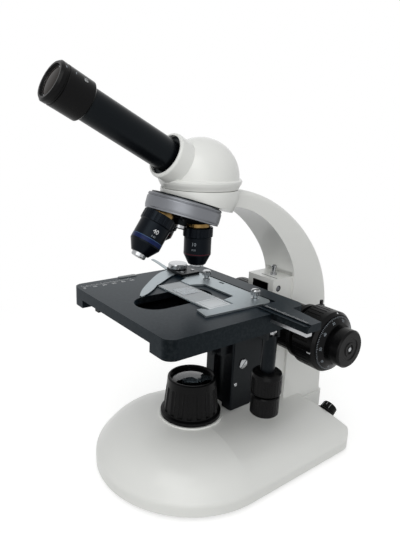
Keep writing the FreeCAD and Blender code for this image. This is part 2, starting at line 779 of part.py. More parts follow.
def make_head():
    """Domed head with a collar, a spigot below and a socket for the tube."""
    start = HEAD_SEAT + AIR
    inner = DOME_RADIUS - DOME_WALL
    dome = Part.makeSphere(DOME_RADIUS, vec(0, 0, AXIS_CROSSING))
    dome = dome.common(rod(DOME_RADIUS + 1.0, AXIS_CROSSING - 6.0, AXIS_CROSSING + DOME_RADIUS + 1.0))
    collar = turned([(0.0, start), (DOME_RADIUS - 0.5, start), (COLLAR_RADIUS - 0.7, start + 4.0),
                     (COLLAR_RADIUS, start + 6.0), (COLLAR_RADIUS, COLLAR_TOP - 1.2),
                     (COLLAR_RADIUS - 1.2, COLLAR_TOP), (0.0, COLLAR_TOP)])
    spigot = rod(SPIGOT_RADIUS, HEAD_SEAT - SPIGOT_LENGTH, start + 1.0)
    socket = to_tube(turned([(0.0, 20.0), (SOCKET_RADIUS, 20.0), (SOCKET_RADIUS, SOCKET_END - 1.6),
                             (SOCKET_RADIUS - 0.5, SOCKET_END - 0.5), (SOCKET_RADIUS - 1.3, SOCKET_END),
                             (0.0, SOCKET_END)]))
    head = dome.fuse([collar, spigot, socket])
    hollow = Part.makeSphere(inner, vec(0, 0, AXIS_CROSSING))
    hollow = hollow.common(rod(DOME_RADIUS, start + 3.5, AXIS_CROSSING + DOME_RADIUS))
    cuts = [hollow, rod(SPIGOT_RADIUS - 8.0, HEAD_SEAT - SPIGOT_LENGTH - 1.0, start + 4.0)]
    cuts.append(to_tube(rod(TUBE_RADIUS + SEAT, 15.0, SOCKET_END + 1.0)))
    cuts.append(to_tube(rod(SOCKET_MOUTH, SOCKET_END - SOCKET_RECESS, SOCKET_END + 1.0)))
    return head.cut(cuts).fuse(prism_saddle())


def make_tube():
    """Slightly tapered eyepiece tube with a flange in the mouth of the socket."""
    bore = EYE_SLEEVE_RADIUS + RUN
    inside = TUBE_RADIUS - TUBE_WALL
    flange = SOCKET_END - SOCKET_RECESS + SEAT
    tube = turned([(inside, TUBE_START), (TUBE_RADIUS, TUBE_START), (TUBE_RADIUS, flange),
                   (SOCKET_MOUTH - RUN, flange), (SOCKET_MOUTH - RUN, flange + 3.0),
                   (TUBE_RADIUS, flange + 3.0),
                   (TUBE_RADIUS, SOCKET_END), (TUBE_TIP_RADIUS, EYE_SHOULDER - AIR),
                   (bore, EYE_SHOULDER - AIR),
                   (bore, EYE_SHOULDER - EYE_SLEEVE_LENGTH - 4.0),
                   (inside, EYE_SHOULDER - EYE_SLEEVE_LENGTH - 6.0)])
    return to_tube(tube)


def prism_saddle():
    """Return the ring and cheeks cast into the head to hold the prism."""
    floor = HEAD_SEAT + AIR + 3.5
    ring = turned([(8.5, floor - 1.0), (21.0, floor - 1.0), (21.0, floor + 2.0), (8.5, floor + 2.0)])
    cheeks = []
    for side in (-1.0, 1.0):
        near = side * (PRISM_HALF + 0.1)
        far = side * (PRISM_HALF + 2.1)
        cheeks.append(block(min(near, far), max(near, far), -9.0, 9.0, floor + 1.0, floor + 12.0))
    saddle = ring.fuse(cheeks)
    return saddle


def make_prism():
    """Glass prism that bends the light from the vertical into the tube."""
    floor = HEAD_SEAT + AIR + 5.5 + SEAT
    turn = math.radians(0.5 * (90.0 + TUBE_ELEVATION))
    climb = 17.0
    top_y = climb / math.tan(turn)
    foot = (AXIS_CROSSING - floor) / math.tan(turn)
    exit_y = 11.0
    face = polygon("yz", -PRISM_HALF, [(foot, floor), (-exit_y, floor), (2.5 - exit_y, floor + 5.0),
                                       (foot - top_y, floor + climb)])
    return face.extrude(vec(2.0 * PRISM_HALF, 0, 0))


def make_eyepiece_body():
    """Wide eyepiece body with a grip groove and a recess round the eye lens."""
    end = EYE_END
    body = turned([(EYE_SLEEVE_RADIUS - 1.0, EYE_SHOULDER), (EYE_RADIUS - 1.2, EYE_SHOULDER),
                   (EYE_RADIUS, EYE_SHOULDER + 1.2), (EYE_RADIUS, end - 6.6), (EYE_RADIUS - 0.8, end - 6.0),
                   (EYE_RADIUS - 0.8, end - 5.2), (EYE_RADIUS, end - 4.6), (EYE_RADIUS, end - 1.6),
                   (EYE_RADIUS - 1.6, end), (EYE_RADIUS - 3.2, end), (EYE_LENS_RADIUS + 1.5, end - 5.5),
                   (EYE_LENS_RADIUS + RUN, end - 5.5), (EYE_LENS_RADIUS + RUN, end - 10.0),
                   (EYE_SLEEVE_RADIUS - 2.2, end - 12.0), (EYE_SLEEVE_RADIUS - 2.2, EYE_SHOULDER + 3.0),
                   (EYE_SLEEVE_RADIUS - 1.0, EYE_SHOULDER + 3.0)])
    return to_tube(body)


def make_eyepiece_sleeve():
    """Bright sleeve that slides into the tube."""
    start = EYE_SHOULDER - EYE_SLEEVE_LENGTH
    sleeve = turned([(EYE_SLEEVE_RADIUS - 1.0, start), (EYE_SLEEVE_RADIUS, start),
                     (EYE_SLEEVE_RADIUS, EYE_SHOULDER - SEAT),
                     (EYE_SLEEVE_RADIUS - 1.0, EYE_SHOULDER - SEAT)])
    return to_tube(sleeve)


def make_eye_lens():
    """Eye lens with a gentle outer curve."""
    return to_tube(lens(EYE_LENS_RADIUS, EYE_END - 10.0, EYE_END - 7.2, 1.8))


def make_field_lens():
    """Field lens at the inner end of the sleeve."""
    start = EYE_SHOULDER - EYE_SLEEVE_LENGTH
    return to_tube(lens(EYE_SLEEVE_RADIUS - 1.0 - 2.0 * SEAT, start + 2.0, start + 4.0, 1.4))


# Focus drive

def way_profile(grow, front, rear, z0, z1):
    """Return the dovetail that slides in the focus housing, or its way."""
    neck = WAY_HALF_WIDTH - WAY_FLARE + grow
    wide = WAY_HALF_WIDTH + WAY_FLARE + grow
    lip_end = HOUSING_FRONT + WAY_LIP
    face = polygon("xy", z0,
                   [(-neck, front), (neck, front), (neck, lip_end - grow), (wide, lip_end + 4.0 - grow),
                              (wide, rear + grow), (-wide, rear + grow), (-wide, lip_end + 4.0 - grow),
                              (-neck, lip_end - grow)])
    return face.extrude(vec(0, 0, z1 - z0))


def slide_rear():
    """Return the rear face of the focus slide."""
    return HOUSING_FRONT + WAY_LIP + SLIDE_DEPTH - 2.0


def make_focus_housing():
    """White housing on the column with the dovetail way and the drive bore."""
    body = block(-HOUSING_HALF_WIDTH, HOUSING_HALF_WIDTH, HOUSING_FRONT, COLUMN_FRONT - SEAT, HOUSING_BOTTOM,
                 HOUSING_TOP)
    body = rounded(body, 1.2, lambda e: is_upright(e) and e.Vertexes[0].Point.y < HOUSING_FRONT + 1.0)
    way = way_profile(SLIDE_FIT, HOUSING_FRONT - 1.0, slide_rear(), HOUSING_BOTTOM - 1.0, WAY_TOP)
    gear = PINION_PITCH + 2.6
    cavity = block(-RACK_WIDTH * 0.5 - 1.5, RACK_WIDTH * 0.5 + 1.5, slide_rear() - 1.0, FOCUS_AXIS_Y + gear,
                   FOCUS_AXIS_Z - gear, FOCUS_AXIS_Z + gear)
    rack_room = block(-RACK_WIDTH * 0.5 - 0.6, RACK_WIDTH * 0.5 + 0.6, slide_rear() - 1.0,
                      FOCUS_AXIS_Y - PINION_PITCH + RACK_MODULE + 1.0, HOUSING_BOTTOM - 1.0, WAY_TOP)
    bore = cross_rod(BUSH_RADIUS + SEAT, -HOUSING_HALF_WIDTH - 1.0, HOUSING_HALF_WIDTH + 1.0, FOCUS_AXIS_Y,
                     FOCUS_AXIS_Z)
    stop_hole = rod(2.0 + SEAT, WAY_TOP - 1.0, HOUSING_TOP + 1.0, 3.0, HOUSING_FRONT + 15.0)
    screw_hole = cross_rod(2.0 + SEAT, 10.0, HOUSING_HALF_WIDTH + 1.0, HOUSING_FRONT + 7.5, HOUSING_TOP - 9.8)
    screw_sink = cross_rod(3.2, HOUSING_HALF_WIDTH - 1.2, HOUSING_HALF_WIDTH + 1.0, HOUSING_FRONT + 7.5,
                           HOUSING_TOP - 9.8)
    groove = block(-6.0, 15.5, HOUSING_FRONT + 6.6, HOUSING_FRONT + 7.8, HOUSING_TOP - 0.6, HOUSING_TOP + 1.0)
    mount_holes = [aimed(rod(2.2, -30.0, 30.0), vec(0, COLUMN_FRONT, z), vec(0, 1, 0)) for z in (78.0, 154.0)]
    return body.cut([way, cavity, rack_room, bore, stop_hole, screw_hole, screw_sink, groove] + mount_holes)


def make_stop_screw():
    """Upright screw that limits how far the stage can rise."""
    x = 3.0
    y = HOUSING_FRONT + 15.0
    shape = turned([(0.0, WAY_TOP - 0.4), (2.0, WAY_TOP - 0.4), (2.0, HOUSING_TOP + SEAT),
                    (3.4, HOUSING_TOP + SEAT),
                    (3.4, HOUSING_TOP + 2.0), (2.0, HOUSING_TOP + 2.4), (2.0, HOUSING_TOP + 7.4),
                    (2.7, HOUSING_TOP + 8.0), (2.7, HOUSING_TOP + 9.4), (1.6, HOUSING_TOP + 10.4),
                    (0.0, HOUSING_TOP + 10.4)])
    shape.translate(vec(x, y, 0))
    return shape


def make_shaft_bushes():
    """Two bronze bushes: a short one on the left, a long one that carries the tension ring."""
    bore = COARSE_SHAFT_RADIUS + RUN
    inner = RACK_WIDTH * 0.5 + 1.9
    left = cross_rod(BUSH_RADIUS, COARSE_LEFT_START + 0.6, -inner, FOCUS_AXIS_Y, FOCUS_AXIS_Z)
    right = cross_rod(BUSH_RADIUS, inner, COARSE_RIGHT_START - 0.6, FOCUS_AXIS_Y, FOCUS_AXIS_Z)
    hole = cross_rod(bore, -60.0, 60.0, FOCUS_AXIS_Y, FOCUS_AXIS_Z)
    return Part.makeCompound([left.cut(hole), right.cut(hole)])


def pinion(module, teeth, width, bore):
    """Return a small gear about Z with straight-flanked teeth."""
    pitch = module * teeth / 2.0
    tip = pitch + 0.75 * module
    root = pitch - 1.05 * module
    body = rod(root, 0.0, width)
    half_pitch = 0.30 * module * math.pi / 2.0 * 1.12
    half_tip = half_pitch * 0.52
    half_root = half_pitch * 1.25
    tooth = polygon("xy", 0.0,
                    [(root - 0.5, -half_root), (pitch, -half_pitch), (tip, -half_tip), (tip, half_tip),
                                (pitch, half_pitch), (root - 0.5, half_root)]).extrude(vec(0, 0, width))
    blanks = []
    for index in range(teeth):
        copy = tooth.copy()
        copy.rotate(vec(0, 0, 0), UP, 360.0 * index / teeth)
        blanks.append(copy)
    gear = body.fuse(blanks)
    if bore > 0.0:
        gear = gear.cut(rod(bore, -1.0, width + 1.0))
    return gear


def rack(module, length, width, back, phase):
    """Return a rack along X with teeth towards +Y and its pitch line at Y = 0."""
    pitch = math.pi * module
    tip = 0.75 * module
    root = -1.05 * module
    half_pitch = 0.30 * pitch / 2.0 * 1.12
    half_tip = half_pitch * 0.55
    half_root = half_pitch * 1.4
    solid = block(-0.5 * length, 0.5 * length, root - back, root, 0.0, width)
    count = int(length / pitch)
    teeth = []
    for index in range(-count, count + 1):
        x = (index + phase) * pitch
        if abs(x) + half_root > 0.5 * length - 0.3:
            continue
        face = polygon("xy", 0.0,
                       [(x - half_root, root - 0.2), (x + half_root, root - 0.2), (x + half_pitch, 0.0),
                                   (x + half_tip, tip), (x - half_tip, tip), (x - half_pitch, 0.0)])
        teeth.append(face.extrude(vec(0, 0, width)))
    return solid.fuse(teeth)


def make_focus_slide():
    """Black dovetail slide that carries the stage."""
    top = WAY_TOP - FOCUS_UP - 0.6
    body = way_profile(0.0, BRACKET_BACK, slide_rear(), SLIDE_BOTTOM, top)
    return body


def make_focus_rack():
    """Steel rack on the back of the focus slide."""
    top = WAY_TOP - FOCUS_UP - 4.0
    bottom = SLIDE_BOTTOM + 2.0
    length = top - bottom
    pitch_line = FOCUS_AXIS_Y - PINION_PITCH
    back = pitch_line - 1.05 * RACK_MODULE - slide_rear() - SEAT
    middle = 0.5 * (top + bottom)
    offset = (FOCUS_AXIS_Z - middle) / (math.pi * RACK_MODULE)
    phase = offset - math.floor(offset)
    shape = rack(RACK_MODULE, length, RACK_WIDTH, back, phase)
    shape.translate(vec(0, 0, -0.5 * RACK_WIDTH))
    turn = FreeCAD.Placement(vec(0, 0, 0), FreeCAD.Rotation(vec(0, 0, 1), vec(0, 1, 0), vec(1, 0, 0), "XYZ"))
    shape.Placement = turn.multiply(shape.Placement)
    shape.translate(vec(0, pitch_line, middle))
    return shape


def make_coarse_shaft():
    """Hollow coarse shaft with the pinion cut on its middle."""
    gear = pinion(RACK_MODULE, PINION_TEETH, RACK_WIDTH, 0.0)
    gear.rotate(vec(0, 0, 0), UP, 180.0 / PINION_TEETH * (1 + PINION_TEETH % 2))
    gear.translate(vec(0, 0, -0.5 * RACK_WIDTH))
    gear.rotate(vec(0, 0, 0), vec(0, 1, 0), 90)
    gear.translate(vec(0, FOCUS_AXIS_Y, FOCUS_AXIS_Z))
    left = COARSE_LEFT_START - COARSE_LENGTH
    right = COARSE_RIGHT_START + COARSE_LENGTH
    shaft = cross_rod(COARSE_SHAFT_RADIUS, left + 7.0, right - 7.0, FOCUS_AXIS_Y, FOCUS_AXIS_Z)
    bore = cross_rod(FINE_SHAFT_RADIUS + RUN, left - 1.0, right + 1.0, FOCUS_AXIS_Y, FOCUS_AXIS_Z)
    return shaft.fuse(gear).cut(bore)


def knob_flutes(shape, count, radius, groove, x0, x1):
    """Cut grip grooves round a focus knob."""
    cuts = []
    for index in range(count):
        angle = 2.0 * math.pi * index / count
        y = FOCUS_AXIS_Y + radius * math.cos(angle)
        z = FOCUS_AXIS_Z + radius * math.sin(angle)
        cuts.append(cross_rod(groove, x0, x1, y, z))
    return shape.cut(cuts)


def make_coarse_knob(side):
    """Coarse knob, dished on its outer face for the dial or cap of the fine knob."""
    start = COARSE_RIGHT_START if side > 0 else -COARSE_LEFT_START
    end = start + COARSE_LENGTH
    bore = COARSE_SHAFT_RADIUS + SEAT
    dish = 6.5
    points = [(start, bore), (start, COARSE_RADIUS - 2.0), (start + 2.0, COARSE_RADIUS),
              (end - 3.0, COARSE_RADIUS), (end, COARSE_RADIUS - 2.2), (end, DIAL_RADIUS + AIR),
              (end - dish, DIAL_RADIUS + AIR), (end - dish, bore)]
    shape = turned_x([(side * x, r) for x, r in points], FOCUS_AXIS_Y, FOCUS_AXIS_Z)
    groove_start = min(side * (start + 3.0), side * (end - 8.0))
    groove_end = max(side * (start + 3.0), side * (end - 8.0))
    return knob_flutes(shape, 40, COARSE_RADIUS + 0.4, 0.9, groove_start, groove_end)


def make_fine_shaft():
    """Fine focus shaft through the hollow coarse shaft."""
    reach = COARSE_LENGTH + FINE_NECK + FINE_LENGTH - 0.3
    left = COARSE_LEFT_START - reach
    right = COARSE_RIGHT_START + reach
    return cross_rod(FINE_SHAFT_RADIUS, left, right, FOCUS_AXIS_Y, FOCUS_AXIS_Z)


def make_fine_knob(side):
    """Fine knob: bevelled dial in the dish of the coarse knob, neck and grip."""
    start = COARSE_RIGHT_START if side > 0 else -COARSE_LEFT_START
    face = start + COARSE_LENGTH
    grip = face + FINE_NECK
    end = grip + FINE_LENGTH
    bore = FINE_SHAFT_RADIUS + SEAT
    points = [(face - 6.0, bore), (face - 6.0, DIAL_RADIUS), (face + 0.6, DIAL_RADIUS),
              (face + 4.2, DIAL_RADIUS - 6.4),
              (face + 4.2, FINE_RADIUS - 2.8), (grip, FINE_RADIUS - 2.8), (grip + 1.2, FINE_RADIUS),
              (end - 1.5, FINE_RADIUS), (end, FINE_RADIUS - 1.5), (end, 11.0), (end - 0.8, 10.2),
              (end - 0.8, 7.0), (end, 6.4), (end, 4.6), (end - 1.0, 4.0), (end - 1.0, bore)]
    return turned_x([(side * x, r) for x, r in points], FOCUS_AXIS_Y, FOCUS_AXIS_Z)


def make_tension_ring():
    """Tension ring that turns on the long bush."""
    points = [(TENSION_START, BUSH_RADIUS + RUN), (TENSION_START, TENSION_RADIUS - 2.0),
              (TENSION_START + 2.0, TENSION_RADIUS), (TENSION_END - 1.0, TENSION_RADIUS),
              (TENSION_END, TENSION_RADIUS - 1.0), (TENSION_END, BUSH_RADIUS + RUN)]
    shape = turned_x(points, FOCUS_AXIS_Y, FOCUS_AXIS_Z)
    return knob_flutes(shape, 20, TENSION_RADIUS + 0.6, 1.3, TENSION_START + 3.0, TENSION_END - 2.0)


def make_lock_lever():
    """Ring with an upright tab that sets the coarse stop."""
    start = TENSION_END + AIR
    end = start + LOCK_WIDTH
    ring = turned_x([(start, BUSH_RADIUS + RUN), (start, LOCK_RADIUS), (end, LOCK_RADIUS),
                     (end, BUSH_RADIUS + RUN)],
                    FOCUS_AXIS_Y, FOCUS_AXIS_Z)
    foot = block(start, end, FOCUS_AXIS_Y + 14.0, FOCUS_AXIS_Y + 22.0, FOCUS_AXIS_Z + 14.0,
                 FOCUS_AXIS_Z + 24.0)
    foot = foot.cut(cross_rod(LOCK_RADIUS - 3.0, start - 1.0, end + 1.0, FOCUS_AXIS_Y, FOCUS_AXIS_Z))
    tab = block(start + 1.2, end - 1.4, FOCUS_AXIS_Y + 18.0, FOCUS_AXIS_Y + 21.0, FOCUS_AXIS_Z + 20.0,
                FOCUS_AXIS_Z + 28.6)
    return ring.fuse([foot, tab])


# Stage

def lower_plate_top():
    """Return the height of the fixed stage plate's upper face."""
    return STAGE_TOP - STAGE_THICKNESS - 6.8


def make_bracket():
    """Black bracket from the focus slide to the lower stage plate."""
    top = lower_plate_top() - LOWER_PLATE_THICKNESS - SEAT
    half = BRACKET_HALF_WIDTH
    body = block(-half, half, BRACKET_FRONT, BRACKET_BACK - SEAT, BRACKET_BOTTOM, top)
    body = rounded(body, 2.0, is_upright)
    hollow = block(-half + BRACKET_WALL, half - BRACKET_WALL, BRACKET_FRONT + 12.0, BRACKET_BACK - 8.0,
                   BRACKET_BOTTOM - 1.0, top - 8.0)
    channel = block(-7.5, 7.5, BRACKET_FRONT - 1.0, BRACKET_FRONT + 5.0, BRACKET_BOTTOM - 1.0, top + 1.0)
    undercut = Outline("yz", -half - 1.0, BRACKET_FRONT - 1.0, BRACKET_BOTTOM - 1.0)
    undercut.line(BRACKET_BACK + 1.0, BRACKET_BOTTOM - 1.0)
    undercut.line(BRACKET_BACK + 1.0, BRACKET_BOTTOM + 16.0)
    undercut.line(BRACKET_FRONT + 26.0, BRACKET_BOTTOM)
    undercut.line(BRACKET_FRONT - 1.0, BRACKET_BOTTOM)
    under = undercut.face().extrude(vec(2.0 * half + 2.0, 0, 0))
    screw_sink = cross_rod(5.2, half - 1.0, half + 1.0, BRACKET_FRONT + 13.5, 94.0)
    return body.cut([hollow, channel, under, screw_sink])


def make_lower_plate():
    """Fixed stage plate with dovetail sides and the condenser hole."""
    top = lower_plate_top()
    bottom = top - LOWER_PLATE_THICKNESS
    half = LOWER_PLATE_HALF
    face = polygon("xz", LOWER_PLATE_FRONT, [(-half, bottom), (half, bottom), (half - LOWER_PLATE_BEVEL, top),
                                            (-half + LOWER_PLATE_BEVEL, top)])
    plate = face.extrude(vec(0, BRACKET_BACK - LOWER_PLATE_FRONT - 2.0, 0))
    hole = rod(CONDENSER_RADIUS + 1.5, bottom - 1.0, top + 1.0)
    return plate.cut(hole)


def make_y_rack():
    """Rack under the right side of the lower plate for the lengthwise drive."""
    top = lower_plate_top() - LOWER_PLATE_THICKNESS - SEAT
    length = Y_FORWARD + Y_BACK + 22.0
    middle = DRIVE_Y + 0.5 * (Y_BACK - Y_FORWARD)
    pitch_line = DRIVE_X - DRIVE_PITCH
    offset = 0.5 - (DRIVE_Y - middle) / (math.pi * DRIVE_MODULE)
    phase = offset - math.floor(offset)
    back = pitch_line - 1.05 * DRIVE_MODULE - (LOWER_PLATE_HALF - 10.0)
    shape = rack(DRIVE_MODULE, length, 3.6, back, phase)
    shape.rotate(vec(0, 0, 0), UP, -90)
    shape.translate(vec(pitch_line, middle, top - 3.6))
    return shape


def make_upper_plate():
    """Moving stage top with skirts, corner blocks, long hole and crosswise channel."""
    top = STAGE_TOP
    under = top - STAGE_THICKNESS
    plate = block(STAGE_LEFT, STAGE_RIGHT, STAGE_FRONT, STAGE_REAR, under, top)
    lip = block(STAGE_LEFT, STAGE_RIGHT, STAGE_FRONT, STAGE_FRONT + SKIRT_WALL, top - STAGE_LIP, under + 1.0)
    left_skirt = block(STAGE_LEFT, STAGE_LEFT + SKIRT_WALL, STAGE_FRONT, STAGE_REAR, top - STAGE_SKIRT,
                       under + 1.0)
    right_skirt = block(STAGE_RIGHT - SKIRT_WALL, STAGE_RIGHT, STAGE_FRONT, STAGE_REAR, top - STAGE_SKIRT,
                        under + 1.0)
    left_block = block(STAGE_LEFT, STAGE_LEFT + CORNER_BLOCK_LEFT, STAGE_FRONT,
                       STAGE_FRONT + CORNER_BLOCK_DEPTH,
                       top - STAGE_SKIRT, under + 1.0)
    right_block = block(STAGE_RIGHT - CORNER_BLOCK_RIGHT, STAGE_RIGHT, STAGE_FRONT,
                        STAGE_FRONT + CORNER_BLOCK_DEPTH, top - STAGE_SKIRT, under + 1.0)
    channel_floor = lower_plate_top() + AIR
    bridge = block(STAGE_LEFT + 1.0, STAGE_RIGHT - 1.0, BAR_FRONT - 6.0, STAGE_REAR, channel_floor,
                   under + 1.0)
    plate = plate.fuse([lip, left_skirt, right_skirt, left_block, right_block, bridge]).removeSplitter()
    plate = rounded(plate, STAGE_CORNER, lambda e: is_upright(e) and is_stage_corner(e))
    hole = rounded_block(-STAGE_HOLE_HALF, STAGE_HOLE_HALF, STAGE_HOLE_FRONT, STAGE_HOLE_REAR, top - 30.0,
                         top + 1.0, STAGE_HOLE_HALF - 0.01)
    deep = block(STAGE_LEFT - 1.0, STAGE_RIGHT + 1.0, BAR_FRONT - SLIDE_FIT, DRIVE_Y + DRIVE_PITCH + 2.0,
                 top - BAR_KEEL - RAIL_THICKNESS - AIR, top - 1.0)
    cuts = [hole, deep, bar_dovetail(SLIDE_FIT, STAGE_LEFT - 1.0, STAGE_RIGHT + 1.0, top + 1.0)]
    cuts.append(rod(DRIVE_TUBE_RADIUS + RUN, channel_floor - 1.0, top - 5.0, DRIVE_X, DRIVE_Y))
    return plate.cut(cuts)


def is_stage_corner(edge):
    """Pick the outer upright corner edges of the stage."""
    point = edge.Vertexes[0].Point
    on_side = abs(point.x - STAGE_LEFT) < 1e-6 or abs(point.x - STAGE_RIGHT) < 1e-6
    on_end = abs(point.y - STAGE_FRONT) < 1e-6 or abs(point.y - STAGE_REAR) < 1e-6
    return on_side and on_end


def make_guides():
    """Two gib strips under the moving top that grip the lower plate."""
    top = STAGE_TOP - STAGE_THICKNESS - SEAT
    plate_top = lower_plate_top()
    low = plate_top - LOWER_PLATE_THICKNESS + AIR
    taper = LOWER_PLATE_BEVEL / LOWER_PLATE_THICKNESS
    start = STAGE_FRONT + SKIRT_WALL + 1.0
    length = BAR_FRONT - 7.0 - start
    strips = []
    for side in (-1.0, 1.0):
        inner_top = side * (LOWER_PLATE_HALF - LOWER_PLATE_BEVEL + SLIDE_FIT)
        inner_low = side * (LOWER_PLATE_HALF - taper * AIR + SLIDE_FIT)
        outer = side * (LOWER_PLATE_HALF + GUIDE_WIDTH)
        face = polygon("xz", start, [(inner_top, plate_top), (inner_low, low), (outer, low), (outer, top),
                                     (inner_top, top)])
        strips.append(face.extrude(vec(0, length, 0)))
    return Part.makeCompound(strips)


def bar_dovetail(grow, x0, x1, top):
    """Return the keel of the crosswise bar, or its channel."""
    z0 = STAGE_TOP - BAR_KEEL - grow
    rise = (top - z0) * BAR_DOVETAIL / BAR_KEEL
    front = BAR_FRONT - grow
    rear = BAR_REAR - 1.5 + grow
    face = polygon("yz", x0, [(front, z0), (rear, z0), (rear - rise, top), (front + rise, top)])
    return face.extrude(vec(x1 - x0, 0, 0))


def make_cross_bar():
    """Crosswise bar that carries the slide holder, tapered at its right end."""
    keel = bar_dovetail(0.0, BAR_LEFT, BAR_RIGHT, STAGE_TOP + 0.3)
    slab = Outline("xy", STAGE_TOP + 0.3, BAR_LEFT, BAR_FRONT)
    slab.line(BAR_RIGHT - 3.0, BAR_FRONT)
    slab.line(BAR_RIGHT, BAR_FRONT + 3.0)
    slab.line(BAR_RIGHT, BAR_REAR_AT_END)
    slab.line(46.0, BAR_REAR)
    slab.line(BAR_LEFT, BAR_REAR)
    slab = slab.face().extrude(vec(0, 0, BAR_TOP - STAGE_TOP - 0.3))
    taper = Outline("xy", STAGE_TOP - 10.0, 46.0, BAR_REAR + 4.0)
    taper.line(46.0, BAR_REAR)
    taper.line(BAR_RIGHT + 10.0, BAR_REAR_AT_END - 1.6)
    taper.line(BAR_RIGHT + 10.0, BAR_REAR + 4.0)
    taper = taper.face().extrude(vec(0, 0, 20.0))
    step = block(BAR_LEFT - 1.0, 58.5, BAR_FRONT - 1.0, BAR_REAR - 5.0, BAR_STEP_TOP, BAR_TOP + 1.0)
    front_step = block(58.0, BAR_RIGHT + 1.0, BAR_FRONT - 1.0, BAR_FRONT + 4.0, BAR_TOP - 1.2, BAR_TOP + 1.0)
    holes = [rod(1.6, BAR_STEP_TOP - 2.5, BAR_TOP, x, y) for x, y in thumb_screw_places()]
    return keel.fuse(slab).cut([step, front_step, taper] + holes)


def make_x_rack():
    """Bright rack under the crosswise bar for the crosswise drive."""
    length = BAR_RIGHT - BAR_LEFT - 1.0
    middle = 0.5 * (BAR_LEFT + BAR_RIGHT)
    pitch_line = DRIVE_Y - DRIVE_PITCH
    offset = (DRIVE_X - middle) / (math.pi * DRIVE_MODULE)
    phase = offset - math.floor(offset) + 0.5
    back = pitch_line - 1.05 * DRIVE_MODULE - BAR_FRONT - 0.2
    top = STAGE_TOP - BAR_KEEL - SEAT
    shape = rack(DRIVE_MODULE, length, RAIL_THICKNESS, back, phase)
    shape.translate(vec(middle, pitch_line, top - RAIL_THICKNESS))
    return shape


def make_holder_plate():
    """Flat slide holder with two rests, a cut-out and the fixed finger."""
    z = BAR_STEP_TOP + SEAT
    rest = SLIDE_Y + 0.5 * SLIDE_WIDTH + 0.1
    right = SLIDE_X + 0.5 * SLIDE_LENGTH + 0.1
    front = SLIDE_Y - 0.5 * SLIDE_WIDTH
    outline = Outline("xy", z, -47.0, BAR_REAR - 6.0)
    outline.line(-47.0, 20.5)
    outline.line(-39.0, 18.7)
    outline.line(-34.0, rest)
    outline.line(-20.0, rest)
    outline.line(-14.5, 22.0)
    outline.line(27.0, 22.0)
    outline.line(30.0, rest)
    outline.line(right, rest)
    outline.line(right, front - 2.0)
    outline.line(right - 5.0, front - 5.0)
    outline.line(right - 5.0, front - 10.0)
    outline.line(right + 11.0, front - 13.0)
    outline.line(right + 13.5, 20.0)
    outline.line(right + 15.5, 33.0)
    outline.arc(right + 14.0, 38.5, right + 8.0, BAR_REAR - 6.0)
    plate = outline.face().extrude(vec(0, 0, HOLDER_THICKNESS))
    lower = block(-60.0, 70.0, front - 20.0, BAR_FRONT - 0.6, STAGE_TOP + 0.25, z + HOLDER_THICKNESS)
    skirt = outline.face().extrude(vec(0, 0, -(z - STAGE_TOP - 0.25))).common(lower)
    plate = plate.fuse(skirt).removeSplitter()
    cuts = []
    for x, y in thumb_screw_places():
        cuts.append(rod(1.6, z - 1.0, z + 5.0, x, y))
    cuts.append(rounded_block(-12.0, -5.0, 37.5, 40.0, z - 1.0, z + 5.0, 1.1))
    return plate.cut(cuts)


def thumb_screw_places():
    """Return the centres of the two thumb screws of the slide holder."""
    return [(THUMB_SCREW_LEFT_X, THUMB_SCREW_LEFT_Y), (THUMB_SCREW_RIGHT_X, THUMB_SCREW_RIGHT_Y)]


def make_thumb_screws():
    """Two bright thumb screws that clamp the slide holder to the bar."""
    z = BAR_STEP_TOP + HOLDER_THICKNESS + 2.0 * SEAT
    screws = []
    for x, y in thumb_screw_places():
        head = turned([(0.0, z), (3.4, z), (3.4, z + 1.0), (2.4, z + 1.6), (2.4, z + 3.4), (4.4, z + 4.2),
                       (4.4, z + 7.6), (3.4, z + 8.8), (0.0, z + 9.2)])
        head = fluted(head, 14, 4.75, 0.75, z + 4.0, z + 10.0)
        shank = rod(1.6 - RUN, BAR_STEP_TOP - 2.0, z + 0.5)
        screw = head.fuse(shank)
        screw.translate(vec(x, y, 0))
        screws.append(screw)
    return Part.makeCompound(screws)


def make_specimen_slide():
    """Glass specimen slide lying on the stage."""
    z = STAGE_TOP + 0.15
    return block(SLIDE_X - 0.5 * SLIDE_LENGTH, SLIDE_X + 0.5 * SLIDE_LENGTH, SLIDE_Y - 0.5 * SLIDE_WIDTH,
                 SLIDE_Y + 0.5 * SLIDE_WIDTH, z, z + SLIDE_THICKNESS)


def finger_bottom():
    """Return the height of the finger's underside, clear of the bar."""
    return BAR_STEP_TOP + AIR


def bridge_bottom():
    """Return the height of the bridge's underside, clear of the finger."""
    return finger_bottom() + FINGER_THICKNESS + AIR


